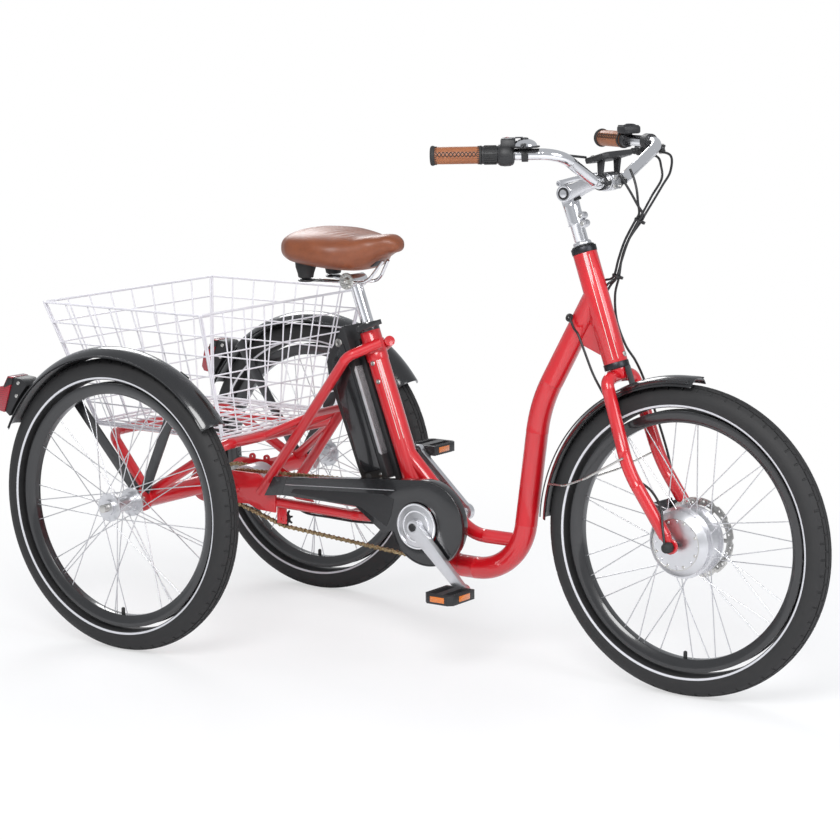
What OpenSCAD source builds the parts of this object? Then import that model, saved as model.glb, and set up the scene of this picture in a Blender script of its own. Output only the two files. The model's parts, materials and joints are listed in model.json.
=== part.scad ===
// Low-step adult tricycle with a hub motor, a carrier basket and chain drive.
// +X is forward, +Y is to the rider's left and +Z is up.
// The origin is on the ground, midway along the tricycle.

/* [Wheels] */
// Outside radius of the tyres
tyre_r = 310; // [290:1:320]
// Width of a tyre
tyre_w = 57; // [48:1:60]
// Thickness of a tyre wall
tyre_wall = 4; // [3:0.5:6]
// Radius of the tyre seat on the rim
rim_seat_r = 248; // [236:1:250]
// Outside width of a rim
rim_w = 32; // [28:1:36]
// Depth of a rim below the tyre seat
rim_depth = 13; // [10:1:18]
// Spokes in a wheel
spoke_count = 36; // [20:4:48]
// Radius of a spoke
spoke_r = 1.1; // [0.8:0.1:1.4]

/* [Layout] */
// Distance from the rear axle to the front axle
wheelbase = 1163; // [1120:1:1220]
// Distance between the middles of the rear wheels
track = 685; // [670:1:740]
// Angle of the steering axis from upright
head_angle = 18.8; // [16:0.1:22]
// Distance of the front axle ahead of the steering axis
fork_rake = 46; // [36:1:56]
// Length of the fork, from its crown to the axle
fork_length = 374; // [366:1:384]
// Length of the head tube
head_length = 224; // [200:1:240]

/* [Frame] */
// Outside radius of the head tube
head_tube_r = 24.5; // [23:0.5:26]
// Outside radius of the down tube
down_tube_r = 23; // [20:0.5:26]
// Outside radius of the seat tube
seat_tube_r = 22; // [20:0.5:24]
// Outside radius of the brace between the seat and down tubes
brace_r = 14.3; // [12:0.1:16]
// Outside radius of the seat stays
seat_stay_r = 11; // [9:0.5:12]
// Outside radius of the chainstays
chain_stay_r = 11; // [9:0.5:12]
// Thickness of the two gear plates
plate_t = 5; // [4:0.5:6]
// Inside width between the two gear plates
plate_gap = 130; // [120:1:140]
// Outside radius of the axle beam
beam_r = 20; // [18:0.5:24]
// Length of the axle beam
beam_length = 550; // [520:1:560]
// Outside radius of the carrier tubes
carrier_r = 11; // [9:0.5:12]

/* [Rear axle] */
// Radius of the rear axle
axle_r = 8.5; // [7.5:0.1:9.5]
// Length of the rear axle
axle_length = 800; // [790:1:860]
// Distance between the flanges of a rear hub
rear_flange_gap = 70; // [60:1:76]
// Radius of a rear hub flange
rear_flange_r = 30; // [26:1:36]

/* [Front hub] */
// Radius of the motor hub
motor_r = 65; // [55:1:72]
// Width of the motor hub
motor_w = 86; // [76:1:90]
// Radius of the front axle
front_axle_r = 7; // [5:0.5:8]
// Radius of the brake disc
disc_r = 80; // [70:1:90]

/* [Drive] */
// Teeth on the chainring
ring_teeth = 38; // [32:1:40]
// Teeth on the gear hub's driven sprocket
hub_teeth = 19; // [16:1:20]
// Teeth on the gear hub's output sprocket
output_teeth = 14; // [13:1:16]
// Teeth on the axle sprocket
axle_teeth = 14; // [13:1:16]
// Teeth on the idler
idler_teeth = 9; // [8:1:11]
// Length of a crank, from the spindle to the pedal
crank_length = 170; // [150:1:175]
// Crank angle below the forward direction
crank_angle = 44; // [0:1:90]
// Length of a pedal along its axle
pedal_length = 84; // [76:1:100]
// Width of a pedal
pedal_w = 68; // [60:1:95]

/* [Seat] */
// Radius of the seatpost
seatpost_r = 13.6; // [12.5:0.1:15.5]
// Length of the saddle
saddle_length = 258; // [240:1:290]
// Width of the saddle
saddle_w = 230; // [200:1:250]
// Depth of the saddle, from its crown to its skirt
saddle_h = 85; // [70:1:95]

/* [Handlebar] */
// Radius of the handlebar
bar_r = 11.1; // [10:0.1:12]
// Radius of the handlebar in its clamp
bar_clamp_r = 12.7; // [12:0.1:16]
// Half the width of the handlebar
bar_half = 308; // [280:1:320]
// Radius of a grip
grip_r = 16.5; // [14:0.5:18]
// Length of a grip
grip_length = 92; // [80:1:96]

/* [Carrier basket] */
// Length of the basket at its floor
basket_floor_l = 350; // [300:1:370]
// Width of the basket at its floor
basket_floor_w = 400; // [340:1:410]
// Length of the basket at its rim
basket_rim_l = 432; // [380:1:450]
// Width of the basket at its rim
basket_rim_w = 566; // [500:1:580]
// Height of the basket
basket_h = 270; // [220:1:300]
// Spacing of the basket's wires
basket_mesh = 47; // [35:1:60]
// Radius of the basket's thin wires
basket_wire_r = 1.6; // [1.2:0.1:2]
// Radius of the basket's border wires
basket_border_r = 2.6; // [2.2:0.1:3.2]

/* [Fenders] */
// Radius of the rear fenders, over their tyres
fender_r = 334; // [326:1:345]
// Radius of the front fender, over its tyre
front_fender_r = 327; // [320:1:332]
// Width of the rear fenders
rear_fender_w = 72; // [64:1:76]
// Width of the front fender
front_fender_w = 62; // [58:1:66]

/* [Battery] */
// Length of the battery
battery_l = 332; // [280:1:345]
// Width of the battery
battery_w = 82; // [70:1:82]
// Depth of the battery
battery_d = 76; // [60:1:80]

/* [Hidden] */
$fn = 64;
pitch = 12.7;
run_gap = 0.05;
seat_gap = 0.3;
collar_gap = 0.2;
collar_half = 0.6;
collar_lip = 0.06;

reach_rear = 325;
mid_x = (wheelbase + tyre_r - reach_rear) / 2;
wheel_y = track / 2;
axle_z = tyre_r;

// Steering axis
steer_up = [-sin(head_angle), 0, cos(head_angle)];
steer_fwd = [cos(head_angle), 0, sin(head_angle)];
front_axle = [wheelbase, 0, axle_z];
head_foot = front_axle - fork_rake * steer_fwd + fork_length * steer_up;
stem_pivot_s = head_length + 123;
steerer_r = 14.3;
stem_pin_r = 8;
leg_r = 13;
steerer_bore_r = 11.2;

// Seat tube
seat_angle = 20;
seat_up = [-sin(seat_angle), 0, cos(seat_angle)];
bracket = [578, 0, 286];
seat_foot = [539, 0, 286];
seat_tube_l = 405;
collar_l = 18;
post_l = 106;
rail_r = 3.5;
battery_foot = 100;

// Drive
chain_y = -46;
hub_z = 308;
hub_axle_r = 5;
hub_axle_l = 160;
idler_x = 204;
rear_chain_y = 42;
roller_r = 3.8;
guard_at = [600, 0, 294];
guard_r = 90;
guard_face_y = -84;
crank_y = 88;
spindle_r = 10;
pedal_y = 106;

// Handlebar
bar_drop = [93, 0, 27];
bar_rise = [100, 190, 92];
bar_back = [-109, bar_half, 88];

// Fenders
fender_crown = 20;
front_crown = 18;
fender_t = 2.2;
stay_t = 3;
stay_w = 24;

// Basket
basket_floor_z = 444;
basket_front_x = 158;
basket_rim_x = -258;

function unit(v) = v / norm(v);
function turn(a, b, c) = acos(unit(b - a) * unit(c - b));
function mirror_y(v) = [v.x, -v.y, v.z];
function ring_r(teeth) = teeth * pitch / (2 * PI);

module at_axle() {
  translate([-mid_x, 0, 0])
    children();
}

module on_head() {
  translate(head_foot)
    rotate([0, -head_angle, 0])
      children();
}

module on_seat() {
  translate(seat_foot)
    rotate([0, -seat_angle, 0])
      children();
}

// Turns a shape drawn about Z so that its axis runs along Y.
module about_y() {
  rotate([-90, 0, 0])
    children();
}

module rod(a, b, r, r2) {
  d = b - a;
  end_r = is_undef(r2) ? r : r2;
  translate(a)
    rotate([0, acos(d.z / norm(d)), atan2(d.y, d.x)])
      cylinder(h = norm(d), r1 = r, r2 = end_r);
}

// A round bar along a line of corners, with a bend of its own radius at each.
module elbow(a, b, c, bend, r) {
  u = unit(b - a);
  v = unit(c - b);
  n = unit(cross(u, v));
  side = cross(n, u);
  start = b - u * bend * tan(turn(a, b, c) / 2);
  centre = start + side * bend;
  multmatrix([[-side.x, u.x, n.x, centre.x],
        [-side.y, u.y, n.y, centre.y],
        [-side.z, u.z, n.z, centre.z]])
    rotate_extrude(angle = turn(a, b, c))
      translate([bend, 0])
        circle(r = r);
}

// Each straight stretch meets its bend inside a thin collar.
module bent_bar(points, bends, r) {
  last = len(points) - 1;
  back = [for (i = [0:last])
    i == 0 || i == last ? 0
      : bends[i - 1] * tan(turn(points[i - 1], points[i], points[i + 1]) / 2)];
  for (i = [0:last - 1]) {
    u = unit(points[i + 1] - points[i]);
    a = points[i] + u * back[i];
    b = points[i + 1] - u * back[i + 1];
    rod(a + u * (i == 0 ? 0 : collar_gap), b - u * (i == last - 1 ? 0 : collar_gap), r);
    if (i > 0)
      rod(a - u * collar_half, a + u * collar_half, r + collar_lip);
    if (i < last - 1)
      rod(b - u * collar_half, b + u * collar_half, r + collar_lip);
  }
  for (i = [1:last - 1])
    elbow(points[i - 1], points[i], points[i + 1], bends[i - 1], r);
}

module both_sides() {
  children();
  mirror([0, 1, 0])
    children();
}

// ---------- Wheels ----------

module tyre_profile() {
  bead_w = 3.6;
  flange_in = rim_w / 2 - 3;
  centre = tyre_r - tyre_w / 2;
  difference() {
    union() {
      difference() {
        translate([centre, 0])
          circle(r = tyre_w / 2);
        translate([rim_seat_r - 1, -tyre_w])
          square([12, 2 * tyre_w]);
      }
      translate([rim_seat_r + seat_gap, -flange_in + seat_gap])
        square([22, 2 * (flange_in - seat_gap)]);
    }
    translate([centre, 0])
      circle(r = tyre_w / 2 - tyre_wall);
    translate([rim_seat_r - 1, -flange_in + bead_w])
      square([22, 2 * (flange_in - bead_w)]);
    for (y = [-9, 0, 9])
      translate([tyre_r - 1.5, y - 1])
        square([3, 2]);
  }
}

module tyre() {
  rotate_extrude($fn = 128)
    tyre_profile();
}

module rim_profile() {
  half = rim_w / 2;
  well = rim_seat_r - rim_depth;
  polygon([[rim_seat_r + 11, half], [rim_seat_r + 11, half - 3], [rim_seat_r, half - 3],
      [rim_seat_r, 3 - half], [rim_seat_r + 11, 3 - half], [rim_seat_r + 11, -half],
      [rim_seat_r, -half], [well, -half / 2], [well, half / 2], [rim_seat_r, half]]);
}

module rim() {
  rotate_extrude($fn = 128)
    rim_profile();
}

// Spokes cross from a flange to the rim, leading and trailing in turn.
module spokes(flange_r, flange_y, cross_angle) {
  per_side = spoke_count / 2;
  step = 360 / per_side;
  rim_in = rim_seat_r - rim_depth + 1;
  for (side = [-1, 1], k = [0:per_side - 1]) {
    lead = k % 2 == 0 ? 1 : -1;
    a = k * step + (side > 0 ? step / 2 : 0);
    b = a + lead * cross_angle;
    rod([flange_r * cos(a), flange_r * sin(a), side * flange_y + lead * 1.6],
      [rim_in * cos(b), rim_in * sin(b), side * 3 + lead * 1.6], spoke_r, $fn = 16);
  }
}

module rear_hub() {
  half = rear_flange_gap / 2;
  rotate_extrude()
    difference() {
      union() {
        translate([0, -half - 8])
          square([16, 2 * half + 16]);
        for (side = [-1, 1])
          translate([0, side * half - 2])
            square([rear_flange_r, 4]);
        for (side = [-1, 1])
          translate([0, side * (half - 7) - 5])
            square([21, 10]);
      }
      translate([-1, -100])
        square([axle_r + run_gap + 1, 200]);
    }
  spokes(rear_flange_r - 4, half, 54);
}

module rear_wheel_place(side) {
  at_axle()
    translate([0, side * wheel_y, axle_z])
      about_y()
        children();
}

module front_wheel_place() {
  at_axle()
    translate(front_axle)
      about_y()
        children();
}

module right_tyre() {
  color("#1c1c1c")
    rear_wheel_place(-1)
      tyre();
}

module right_rim() {
  color("#151515")
    rear_wheel_place(-1)
      rim();
}

module right_hub() {
  color("silver")
    rear_wheel_place(-1)
      rear_hub();
}

module left_tyre() {
  color("#1c1c1c")
    rear_wheel_place(1)
      tyre();
}

module left_rim() {
  color("#151515")
    rear_wheel_place(1)
      rim();
}

module left_hub() {
  color("silver")
    rear_wheel_place(1)
      rear_hub();
}

module front_tyre() {
  color("#1c1c1c")
    front_wheel_place()
      tyre();
}

module front_rim() {
  color("#151515")
    front_wheel_place()
      rim();
}

// The motor hub has a ring of screws on each cover and a boss for the brake disc.
module motor_hub() {
  half = motor_w / 2;
  color("silver")
    front_wheel_place() {
      difference() {
        union() {
          rotate_extrude()
            polygon([[0, -half], [motor_r - 14, -half], [motor_r - 4, -half + 8],
                [motor_r, -half + 12], [motor_r, half - 20],
                [motor_r - 6, half - 12], [34, half - 6], [34, half], [0, half]]);
          for (side = [-1, 1])
            translate([0, 0, side * (half - 24) - 2])
              cylinder(h = 4, r = motor_r + 6);
          for (k = [0:7])
            rotate(k * 45)
              translate([motor_r - 19, 0, -half - 2])
                cylinder(h = 4, r = 3.5);
        }
        translate([0, 0, -half - 5])
          cylinder(h = motor_w + 10, r = front_axle_r + run_gap);
      }
      spokes(motor_r + 2, half - 24, 24);
    }
}

// The brake disc is a slotted ring on six arms.
module brake_disc() {
  disc_t = 2;
  hub_face = motor_w / 2;
  color("silver")
    front_wheel_place()
      translate([0, 0, hub_face])
        difference() {
          union() {
            difference() {
              cylinder(h = disc_t, r = disc_r);
              translate([0, 0, -1])
                cylinder(h = disc_t + 2, r = disc_r - 15);
            }
            cylinder(h = disc_t, r = 30);
            for (k = [0:5])
              rotate(k * 60)
                translate([20, -4, 0])
                  cube([disc_r - 32, 8, disc_t]);
          }
          translate([0, 0, -1])
            cylinder(h = disc_t + 2, r = 18);
          for (k = [0:11]) {
            rotate(k * 30)
              translate([disc_r + 5, 0, -1])
                cylinder(h = disc_t + 2, r = 8);
            rotate(k * 30 + 10)
              translate([disc_r - 6, 0, -1])
                cylinder(h = disc_t + 2, r = 2.2);
            rotate(k * 30 + 20)
              translate([disc_r - 10, 0, -1])
                cylinder(h = disc_t + 2, r = 2.2);
          }
        }
}

// ---------- Frame ----------

module down_tube() {
  joint = head_foot + (head_length * 0.63) * steer_up;
  knee = [824, 0, 550];
  low_front = [776, 0, 195];
  low_rear = [598, 0, 195];
  color("#d0021b")
    at_axle()
      difference() {
        union() {
          on_head()
            cylinder(h = head_length, r = head_tube_r);
          bent_bar([joint, knee, low_front, low_rear, [556, 0, 258]],
              [300, 122, 70], down_tube_r);
          translate([0, 9, 0])
            rotate([90, 0, 0])
              linear_extrude(18)
                polygon([[900, 690], [930, 760], [960, 740], [976, 660]]);
        }
        on_head()
          translate([0, 0, -40])
            cylinder(h = head_length + 80, r = head_tube_r - 7.5);
      }
}

module seat_tube() {
  color("#d0021b")
    at_axle()
      difference() {
        union() {
          on_seat()
            translate([0, 0, -22])
              cylinder(h = seat_tube_l + 22, r = seat_tube_r);
          translate(bracket - [0, 36, 0])
            about_y()
              cylinder(h = 72, r = 20);
          bent_bar([[500, 0, 418], [655, 0, 264], [764, 0, 264]], [90], brace_r);
        }
        on_seat()
          translate([0, 0, 150])
            cylinder(h = seat_tube_l, r = seatpost_r + run_gap);
        translate(bracket - [0, 40, 0])
          about_y()
            cylinder(h = 80, r = spindle_r + run_gap);
      }
}

// Seat stays, chainstays and the two plates that carry the gear hub.
module gear_plate(side) {
  top_x = side < 0 ? 190 : 130;
  translate([0, side > 0 ? plate_gap / 2 + plate_t : -plate_gap / 2, 0])
    rotate([90, 0, 0])
      linear_extrude(plate_t)
        difference() {
          union() {
            translate([0, axle_z])
              circle(r = 38);
            polygon([[-30, 286], [0, 274], [124, 280], [150, 270], [196, 268],
                [top_x + 8, 322], [top_x - 40, 348], [0, 348]]);
            if (side > 0)
              for (x = [26, 66])
                translate([x, 352])
                  circle(r = 8);
          }
          translate([0, axle_z])
            circle(r = axle_r + 6);
          if (side > 0)
            for (x = [26, 66])
              translate([x, 353])
                circle(r = 3);
        }
}

module rear_stays() {
  stay_y = 59;
  color("#c80220")
    at_axle() {
      difference() {
        both_sides()
          bent_bar([[440, 16, 648], [384, stay_y, 619], [150, stay_y + 3, 305]],
              [34], seat_stay_r);
        on_seat()
          cylinder(h = seat_tube_l + 40, r = seat_tube_r + seat_gap);
      }
      difference() {
        both_sides()
          bent_bar([[140, 57, 290], [400, 50, 282], [545, 20, 286]], [90],
              chain_stay_r);
        translate(bracket - [0, 60, 0])
          about_y()
            cylinder(h = 120, r = 20 + seat_gap);
        on_seat()
          translate([0, 0, -60])
            cylinder(h = seat_tube_l, r = seat_tube_r + seat_gap);
      }
      rod([286, -stay_y, 488], [286, stay_y, 488], 8);
      rod([375, -50, 282], [375, 50, 282], 8);
      gear_plate(-1);
      gear_plate(1);
      translate([hub_at.x, -hub_axle_l / 2, hub_at.z])
        about_y()
          cylinder(h = hub_axle_l, r = hub_axle_r);
      for (y = [-plate_gap / 2 - plate_t - 6, plate_gap / 2 + plate_t - 1])
        translate([hub_at.x, y, hub_at.z])
          about_y()
            cylinder(h = 7, r = 9, $fn = 6);
      difference() {
        translate([idler_x - 13, chain_y - 11, idler_z - 11])
          cube([24, 4, 297 - idler_z]);
        translate([idler_x, chain_y, idler_z])
          about_y()
            translate([0, 0, -20])
              cylinder(h = 40, r = 2.9);
      }
      translate([idler_x, chain_y - 9, idler_z])
        about_y()
          cylinder(h = 15, r = 3);
    }
}

// The axle beam carries a bearing at each end of its two tubes.
module axle_beam() {
  inner = plate_gap / 2 + plate_t + seat_gap;
  tube_l = beam_length / 2 - inner;
  color("#c80220")
    at_axle()
      translate([0, 0, axle_z])
        about_y()
          both_ends_z()
            translate([0, 0, inner])
              rotate_extrude()
                difference() {
                  union() {
                    square([beam_r, tube_l]);
                    translate([0, tube_l - 6])
                      square([beam_r + 5, 6]);
                    square([beam_r + 8, 5]);
                  }
                  translate([-1, -1])
                    square([axle_r + run_gap + 1, tube_l + 2]);
                  translate([-1, 16])
                    square([beam_r - 2.5, tube_l - 32]);
                }
}

module both_ends_z() {
  children();
  mirror([0, 0, 1])
    children();
}

module headset() {
  color("#202020")
    at_axle()
      on_head()
        for (z = [-12, head_length])
          translate([0, 0, z])
            difference() {
              cylinder(h = 12, r = head_tube_r + 1);
              translate([0, 0, -1])
                cylinder(h = 14, r = steerer_r + run_gap);
            }
}

// ---------- Carrier ----------

module carrier() {
  z = basket_floor_z - basket_border_r - carrier_r - seat_gap;
  front_x = basket_front_x + 2;
  rear_x = -150;
  loop_y = 200;
  foot_y = beam_length / 2 - 22;
  color("#c80220")
    at_axle()
      difference() {
        union() {
          for (x = [rear_x, front_x])
            bent_bar([[0, -foot_y, axle_z + 8], [x, -loop_y, z],
                 [x, loop_y, z], [0, foot_y, axle_z + 8]],
                [44, 44], carrier_r);
          both_sides() {
            rod([rear_x, 120, z], [front_x, 120, z], carrier_r - 3);
            rod([front_x, 60, z], [292, 60, 488], carrier_r - 3);
          }
        }
        translate([0, 0, axle_z])
          about_y()
            translate([0, 0, -400])
              cylinder(h = 800, r = beam_r + seat_gap);
      }
}

module fender_stays() {
  foot_y = beam_length / 2 + stay_t / 2 + seat_gap;
  edge_r = fender_r - fender_crown;
  top_y = wheel_y - rear_fender_w / 2 - stay_t / 2 - seat_gap;
  color("#181818")
    at_axle()
      both_sides()
        for (a = [128, 62])
          hull() {
            translate([24 * cos(a), foot_y, axle_z + 24 * sin(a)])
              rotate([0, -a, 0])
                cube([stay_t, stay_t, stay_w], center = true);
            translate([edge_r * cos(a), top_y, axle_z + edge_r * sin(a)])
              rotate([0, -a, 0])
                cube([14, stay_t, stay_w], center = true);
          }
}

module fender_profile(r, w, crown) {
  big = (w * w / 4 + crown * crown) / (2 * crown);
  translate([r - big, 0])
    intersection() {
      difference() {
        circle(r = big);
        circle(r = big - fender_t);
      }
      translate([big - crown, -w / 2])
        square([2 * crown, w]);
    }
}

module fender(r, w, crown, from, to) {
  rotate(from)
    rotate_extrude(angle = to - from, $fn = 96)
      fender_profile(r, w, crown);
}

module rear_fender(side) {
  color("#101010")
    at_axle()
      translate([0, side * wheel_y, axle_z])
        rotate([90, 0, 0])
          fender(fender_r, rear_fender_w, fender_crown, 36, 154);
}

module right_fender() {
  rear_fender(-1);
}

module left_fender() {
  rear_fender(1);
}

// A plate drawn in side view, extruded to a width about the middle plane.
module side_plate(w) {
  rotate([90, 0, 0])
    linear_extrude(w, center = true)
      children();
}

module tail_lamp_place() {
  at_axle()
    both_sides()
      translate([0, wheel_y, 0])
        children();
}

// The lamp's body stands on the back of the fender and holds the lens.
module tail_lamps() {
  color("#181818")
    tail_lamp_place()
      difference() {
        side_plate(44)
          polygon([[-232, 536], [-244, 551], [-253, 557], [-276, 559], [-303, 484],
              [-290, 474]]);
        translate([0, 0, axle_z])
          about_y()
            translate([0, 0, -50])
              cylinder(h = 100, r = fender_r + seat_gap, $fn = 96);
      }
}

module tail_lenses() {
  color("#b00015")
    tail_lamp_place()
      side_plate(48)
        polygon([[-277, 560], [-291, 561], [-305, 538], [-315, 537], [-324, 494],
            [-318, 484], [-304.4, 482]]);
}

// ---------- Basket ----------

function mix(a, b, t) = a + (b - a) * t;

// A wire panel between a bottom edge and a top edge, each given by its two ends.
module wire_panel(bottom, top, lift) {
  across = round(norm(bottom[1] - bottom[0]) / basket_mesh);
  rows = round(norm(top[0] - bottom[0]) / basket_mesh);
  rod(bottom[0], bottom[1], basket_border_r);
  rod(top[0], top[1], basket_border_r);
  for (k = [0:across]) {
    r = k == 0 || k == across ? basket_border_r - 0.3 : basket_wire_r;
    t = k / across;
    rod(mix(bottom[0], bottom[1], t), mix(top[0], top[1], t), r);
  }
  for (k = [1:rows - 1]) {
    t = k / rows;
    rod(mix(bottom[0], top[0], t) + lift, mix(bottom[1], top[1], t) + lift, basket_wire_r);
  }
  for (end = [0, 1]) {
    translate(bottom[end])
      sphere(r = basket_border_r + 0.2);
    translate(top[end])
      sphere(r = basket_border_r + 0.2);
  }
}

basket_rear_x = basket_front_x - basket_floor_l;
basket_rim_front_x = basket_rim_x + basket_rim_l;
basket_top_z = basket_floor_z + basket_h;
panel_gap = 2 * basket_border_r + 2 * seat_gap;
weld_lift = 2 * basket_wire_r - 0.9;

module basket_floor() {
  half = basket_floor_w / 2;
  rows = round(basket_floor_l / basket_mesh);
  cols = round(basket_floor_w / basket_mesh);
  color("white")
    at_axle() {
      for (y = [-half, half])
        rod([basket_rear_x, y, basket_floor_z], [basket_front_x, y, basket_floor_z],
          basket_border_r);
      for (x = [basket_rear_x, basket_front_x])
        rod([x, -half, basket_floor_z], [x, half, basket_floor_z], basket_border_r);
      for (x = [basket_rear_x, basket_front_x], y = [-half, half])
        translate([x, y, basket_floor_z])
          sphere(r = basket_border_r + 0.2);
      for (k = [1:rows - 1])
        rod([basket_rear_x + k * basket_floor_l / rows, -half, basket_floor_z],
          [basket_rear_x + k * basket_floor_l / rows, half, basket_floor_z],
          basket_wire_r);
      for (k = [1:cols - 1])
        rod([basket_rear_x, -half + k * basket_floor_w / cols,
          basket_floor_z + weld_lift],
          [basket_front_x, -half + k * basket_floor_w / cols,
          basket_floor_z + weld_lift], basket_wire_r);
    }
}

module basket_sides() {
  base_z = basket_floor_z + panel_gap;
  half = basket_floor_w / 2;
  color("white")
    at_axle()
      both_sides()
        wire_panel([[basket_rear_x, half, base_z], [basket_front_x, half, base_z]],
             [[basket_rim_x, basket_rim_w / 2, basket_top_z],
              [basket_rim_front_x, basket_rim_w / 2, basket_top_z]],
             [0, weld_lift, 0]);
}

module basket_ends() {
  base_z = basket_floor_z + weld_lift + basket_wire_r + basket_border_r + 0.2 + seat_gap;
  half = basket_floor_w / 2 - panel_gap;
  rim_half = basket_rim_w / 2 - panel_gap;
  color("white")
    at_axle() {
      wire_panel([[basket_front_x, -half, base_z], [basket_front_x, half, base_z]],
           [[basket_rim_front_x, -rim_half, basket_top_z],
            [basket_rim_front_x, rim_half, basket_top_z]],
           [weld_lift, 0, 0]);
      wire_panel([[basket_rear_x, -half, base_z], [basket_rear_x, half, base_z]],
           [[basket_rim_x, -rim_half, basket_top_z],
            [basket_rim_x, rim_half, basket_top_z]],
           [-weld_lift, 0, 0]);
    }
}

// ---------- Fork and front end ----------

module fork() {
  dropout = [fork_rake, 63, -fork_length];
  color("#d0021b")
    at_axle()
      on_head()
        difference() {
          union() {
            translate([0, 0, -14])
              cylinder(h = head_length + 30, r = steerer_r);
            translate([0, 0, -34])
              cylinder(h = 21, r1 = 17, r2 = 22);
            both_sides() {
              bent_bar([[0, 8, -26], [0, 52, -30], [0, 63, -210],
                   [fork_rake - 5, 63, -fork_length + 22]], [20, 260], leg_r);
              translate(dropout - [0, 3, 0])
                about_y()
                  cylinder(h = 6, r = 15);
              rod([fork_rake - 5, 63, -fork_length + 22], dropout, 12, 6);
            }
          }
          translate([fork_rake, 0, -fork_length])
            about_y()
              translate([0, 0, -100])
                cylinder(h = 200, r = front_axle_r + run_gap);
          translate([0, 0, 40])
            cylinder(h = head_length, r = steerer_bore_r);
        }
}

// The motor axle is clamped in the dropouts by a nut on each side.
module motor_axle() {
  color("#303030")
    front_wheel_place() {
      translate([0, 0, -78])
        cylinder(h = 156, r = front_axle_r);
      for (z = [-76, 66.3])
        translate([0, 0, z])
          cylinder(h = 9.7, r = 11, $fn = 6);
    }
}

module front_fender() {
  color("#101010")
    at_axle() {
      translate(front_axle)
        rotate([90, 0, 0])
          fender(front_fender_r, front_fender_w, front_crown, 86, 178);
      on_head()
        translate([22 + seat_gap, -9, -50])
          cube([3, 18, 38]);
    }
}

// A wire on each side holds the tail of the front fender to the fork.
module fender_wires() {
  color("silver")
    at_axle()
      both_sides()
        bent_bar([[866, front_fender_w / 2 + 2.3, 397], [910, 46, 400],
             [970, 66, 424], [1063, 77.8, 476]], [60, 60], 2.2);
}

// The caliper straddles the edge of the disc and sits against the left fork leg.
module brake_caliper() {
  foot = [fork_rake - 74, motor_w / 2 - 12, -fork_length + 52];
  leg_top = [0, 63, -210];
  leg_foot = [fork_rake - 5, 63, -fork_length + 22];
  color("#202020")
    at_axle()
      on_head()
        difference() {
          union() {
            translate(foot)
              cube([34, 26, 36]);
            translate(foot + [20, 20, 6])
              cube([30, 8, 24]);
          }
          rod(leg_top, leg_foot, leg_r + seat_gap);
          translate([fork_rake, motor_w / 2 - 1, -fork_length])
            about_y()
              cylinder(h = 4, r = disc_r + 2);
        }
}

module stem_post() {
  base_s = head_length + 17;
  neck_s = stem_pivot_s - 22;
  color("silver")
    at_axle()
      on_head() {
        translate([0, 0, 60])
          cylinder(h = base_s - 50, r = steerer_bore_r - 0.1);
        translate([0, 0, base_s])
          cylinder(h = 50, r = 14);
        translate([0, 0, base_s + 40])
          cylinder(h = neck_s - base_s - 40, r1 = 16, r2 = 17);
        translate([0, -10, stem_pivot_s])
          about_y()
            cylinder(h = 20, r = 16);
        translate([0, -19, stem_pivot_s])
          about_y()
            cylinder(h = 38, r = stem_pin_r);
        translate([-14, -10, neck_s - 4])
          cube([28, 20, stem_pivot_s - neck_s + 4]);
      }
}

stem_pivot = head_foot + stem_pivot_s * steer_up;

module on_stem() {
  translate(stem_pivot)
    children();
}

// Side view of the head: a disc at the pivot, an arm and the clamp round the bar.
module head_side() {
  circle(r = 17);
  polygon([[2, 17], [86, 42], [98, 10], [86, 10], [6, -16]]);
  translate([bar_drop.x, bar_drop.z])
    circle(r = bar_clamp_r + 5);
  rotate(16)
    polygon([[-16, 0], [-16, 26], [-4, 28], [2, 16]]);
}

lever_pin = [-10, 22];

module stem_head() {
  color("silver")
    at_axle()
      on_stem() {
        difference() {
          side_plate(34)
            head_side();
          translate([bar_drop.x, -30, bar_drop.z])
            about_y()
              cylinder(h = 60, r = bar_clamp_r + run_gap);
          translate([0, -30, 0])
            about_y()
              cylinder(h = 60, r = stem_pin_r + run_gap);
          rotate([0, -16, 0])
            translate([-40, -10 - seat_gap, -40])
              cube([68, 20 + 2 * seat_gap, 80]);
        }
        rotate([0, -16, 0])
          translate([lever_pin.x, -16, lever_pin.y])
            about_y()
              cylinder(h = 32, r = 3);
      }
}

function bar_points() = [bar_drop, bar_drop + [2, 50, 0], bar_rise, bar_back];
bar_end = bar_back;
bar_dir = unit(bar_back - bar_rise);

module bar_side(side) {
  pts = [for (p = bar_points()) side > 0 ? p : mirror_y(p)];
  bent_bar(pts, [60, 60], bar_r);
}

module handlebar() {
  color("silver")
    at_axle()
      on_stem() {
        bar_side(1);
        bar_side(-1);
        translate(bar_drop - [0, 38, 0])
          about_y()
            cylinder(h = 76, r = bar_clamp_r);
      }
}

// Places a piece on the straight end of the bar, s back from the end cap.
module on_grip(side, s) {
  d = side > 0 ? bar_dir : mirror_y(bar_dir);
  p = side > 0 ? bar_end : mirror_y(bar_end);
  translate(p - d * s)
    rotate([0, acos(d.z), atan2(d.y, d.x)])
      children();
}

module sleeve(s, l, r, side) {
  on_grip(side, s + l)
    difference() {
      cylinder(h = l, r = r);
      translate([0, 0, -1])
        cylinder(h = l + 2, r = bar_r + run_gap);
    }
}

module grips() {
  color("#8a4b24")
    at_axle()
      on_stem()
        for (side = [-1, 1])
          on_grip(side, grip_length)
            rotate_extrude()
              polygon([[bar_r + run_gap, 0], [grip_r, 0],
                  [grip_r, grip_length + 3], [grip_r - 2, grip_length + 5],
                  [0, grip_length + 5], [0, grip_length + seat_gap],
                  [bar_r + run_gap, grip_length + seat_gap]]);
}

module shifter_collar() {
  color("#202020")
    at_axle()
      on_stem()
        sleeve(grip_length + 1, 30, 17, -1);
}

remote_s = grip_length + 18;
brake_s = grip_length + 99;
brake_pivot = [15, -30];

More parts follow.
